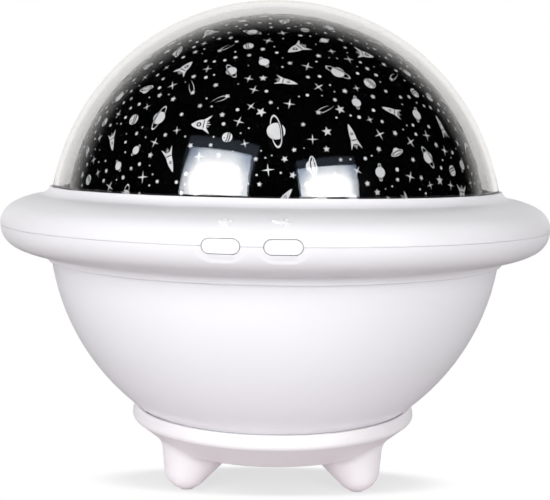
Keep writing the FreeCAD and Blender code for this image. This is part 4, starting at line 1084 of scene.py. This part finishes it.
def add_floor():
    """Pale floor: where it is seen it fades to white round a soft shadow that is partly real shading and partly
    a painted grey oval, elsewhere it only bounces light.
    """
    bm = bmesh.new()
    bmesh.ops.create_circle(bm, cap_ends=True, segments=96, radius=FLOOR_RADIUS)
    bmesh.ops.translate(bm, verts=bm.verts, vec=(0, 0, -0.00005))
    mesh = bpy.data.meshes.new("floor")
    bm.to_mesh(mesh)
    bm.free()
    floor = bpy.data.objects.new("floor", mesh)
    bpy.context.scene.collection.objects.link(floor)
    material, tree, shader, place = surface("studio_floor", Roughness=0.85, Specular_IOR_Level=0.2)
    reach = tree.nodes.new("ShaderNodeVectorMath")
    reach.operation = "LENGTH"
    tree.links.new(place, reach.inputs[0])
    bounce = mixed_colour(tree, ranged(tree, reach.outputs["Value"], *BOUNCE_FADE), FLOOR_NEAR, FLOOR_FAR)
    tree.links.new(bounce, shader.inputs["Base Color"])
    seen = seen_directly(tree)
    paper = tree.nodes.new("ShaderNodeBsdfDiffuse")
    paper.inputs["Color"].default_value = (FLOOR_GAIN, FLOOR_GAIN, FLOOR_GAIN, 1.0)
    glow = tree.nodes.new("ShaderNodeEmission")
    glow.inputs["Strength"].default_value = FLOOR_LIFT
    lifted = tree.nodes.new("ShaderNodeAddShader")
    tree.links.new(paper.outputs[0], lifted.inputs[0])
    tree.links.new(glow.outputs[0], lifted.inputs[1])
    white = tree.nodes.new("ShaderNodeEmission")
    # Painted shadow: within an oval round the lamp the seen floor stays grey, real shading at a low gain plus
    # glow; outside it the floor is plain white
    flat = tree.nodes.new("ShaderNodeVectorMath")
    flat.operation = "MULTIPLY_ADD"
    flat.inputs[1].default_value = PAINTED_SHADOW_STRETCH
    flat.inputs[2].default_value = PAINTED_SHADOW_SHIFT
    tree.links.new(place, flat.inputs[0])
    shade = tree.nodes.new("ShaderNodeVectorMath")
    shade.operation = "LENGTH"
    tree.links.new(flat.outputs[0], shade.inputs[0])
    fade = tree.nodes.new("ShaderNodeMixShader")
    tree.links.new(ranged(tree, shade.outputs["Value"], *PAINTED_SHADOW_FADE), fade.inputs["Fac"])
    tree.links.new(lifted.outputs[0], fade.inputs[1])
    tree.links.new(white.outputs[0], fade.inputs[2])
    mix = tree.nodes.new("ShaderNodeMixShader")
    tree.links.new(seen, mix.inputs["Fac"])
    tree.links.new(shader.outputs[0], mix.inputs[1])
    tree.links.new(fade.outputs[0], mix.inputs[2])
    tree.links.new(mix.outputs[0], tree.nodes["Material Output"].inputs["Surface"])
    mesh.materials.append(material)


def add_world():
    """White where it is seen directly or mirrored from behind, dark in front, and a dim room as light."""
    world = bpy.data.worlds.new("studio")
    bpy.context.scene.world = world
    world.use_nodes = True
    world.cycles.sampling_method = "NONE"
    tree = world.node_tree
    ground = tree.nodes["Background"]
    place = tree.nodes.new("ShaderNodeTexCoord")
    split = tree.nodes.new("ShaderNodeSeparateXYZ")
    tree.links.new(place.outputs["Generated"], split.inputs[0])
    rightwards = calculated(tree, "MAXIMUM", split.outputs["X"], 0.0)
    shift = calculated(tree, "MULTIPLY", rightwards, BACKDROP_SHIFT)
    depth = calculated(tree, "SUBTRACT", split.outputs["Y"], shift)
    backdrop = ranged(tree, depth, *BACKDROP_FADE)
    path = tree.nodes.new("ShaderNodeLightPath")
    room = blended(tree, path.outputs["Is Diffuse Ray"], backdrop, ROOM_LIGHT)
    shown = blended(tree, seen_directly(tree), room, 1.0)
    tree.links.new(shown, ground.inputs["Strength"])
    tint = mixed_colour(tree, path.outputs["Is Glossy Ray"], WHITE, BACKDROP_TINT)
    tree.links.new(tint, ground.inputs["Color"])


add_camera()
add_floor()
add_world()
softbox("left_softbox", -30.6, 30, 0.75, 0.44, 0.34, 5.9, taper=0.18)
softbox("right_softbox", 26.2, 25.5, 0.75, 0.357, 0.245, 3.3)
for row in (
        ("left_key", -31, 28, 0.75, 0.42, 0.27, 1.45),
        ("right_key", 26.5, 24, 0.75, 0.38, 0.19, 0.80),
        ("front_left", -42, 5, 1.1, 0.5, 0.30, 4.95),
        ("front_right", 42, 5, 1.1, 0.5, 0.30, 4.35),
        ("left_fill", -82, 4, 1.0, 1.0, 0.40, 0.6),
        ("right_fill", 82, 4, 1.0, 1.0, 0.40, 0.5),
        ("back_left", -148, 12, 1.1, 0.6, 0.40, 2.4),
        ("back_right", 148, 12, 1.1, 0.6, 0.40, 2.4)):
    fill(*row)
bpy.context.scene.view_settings.view_transform = "Standard"
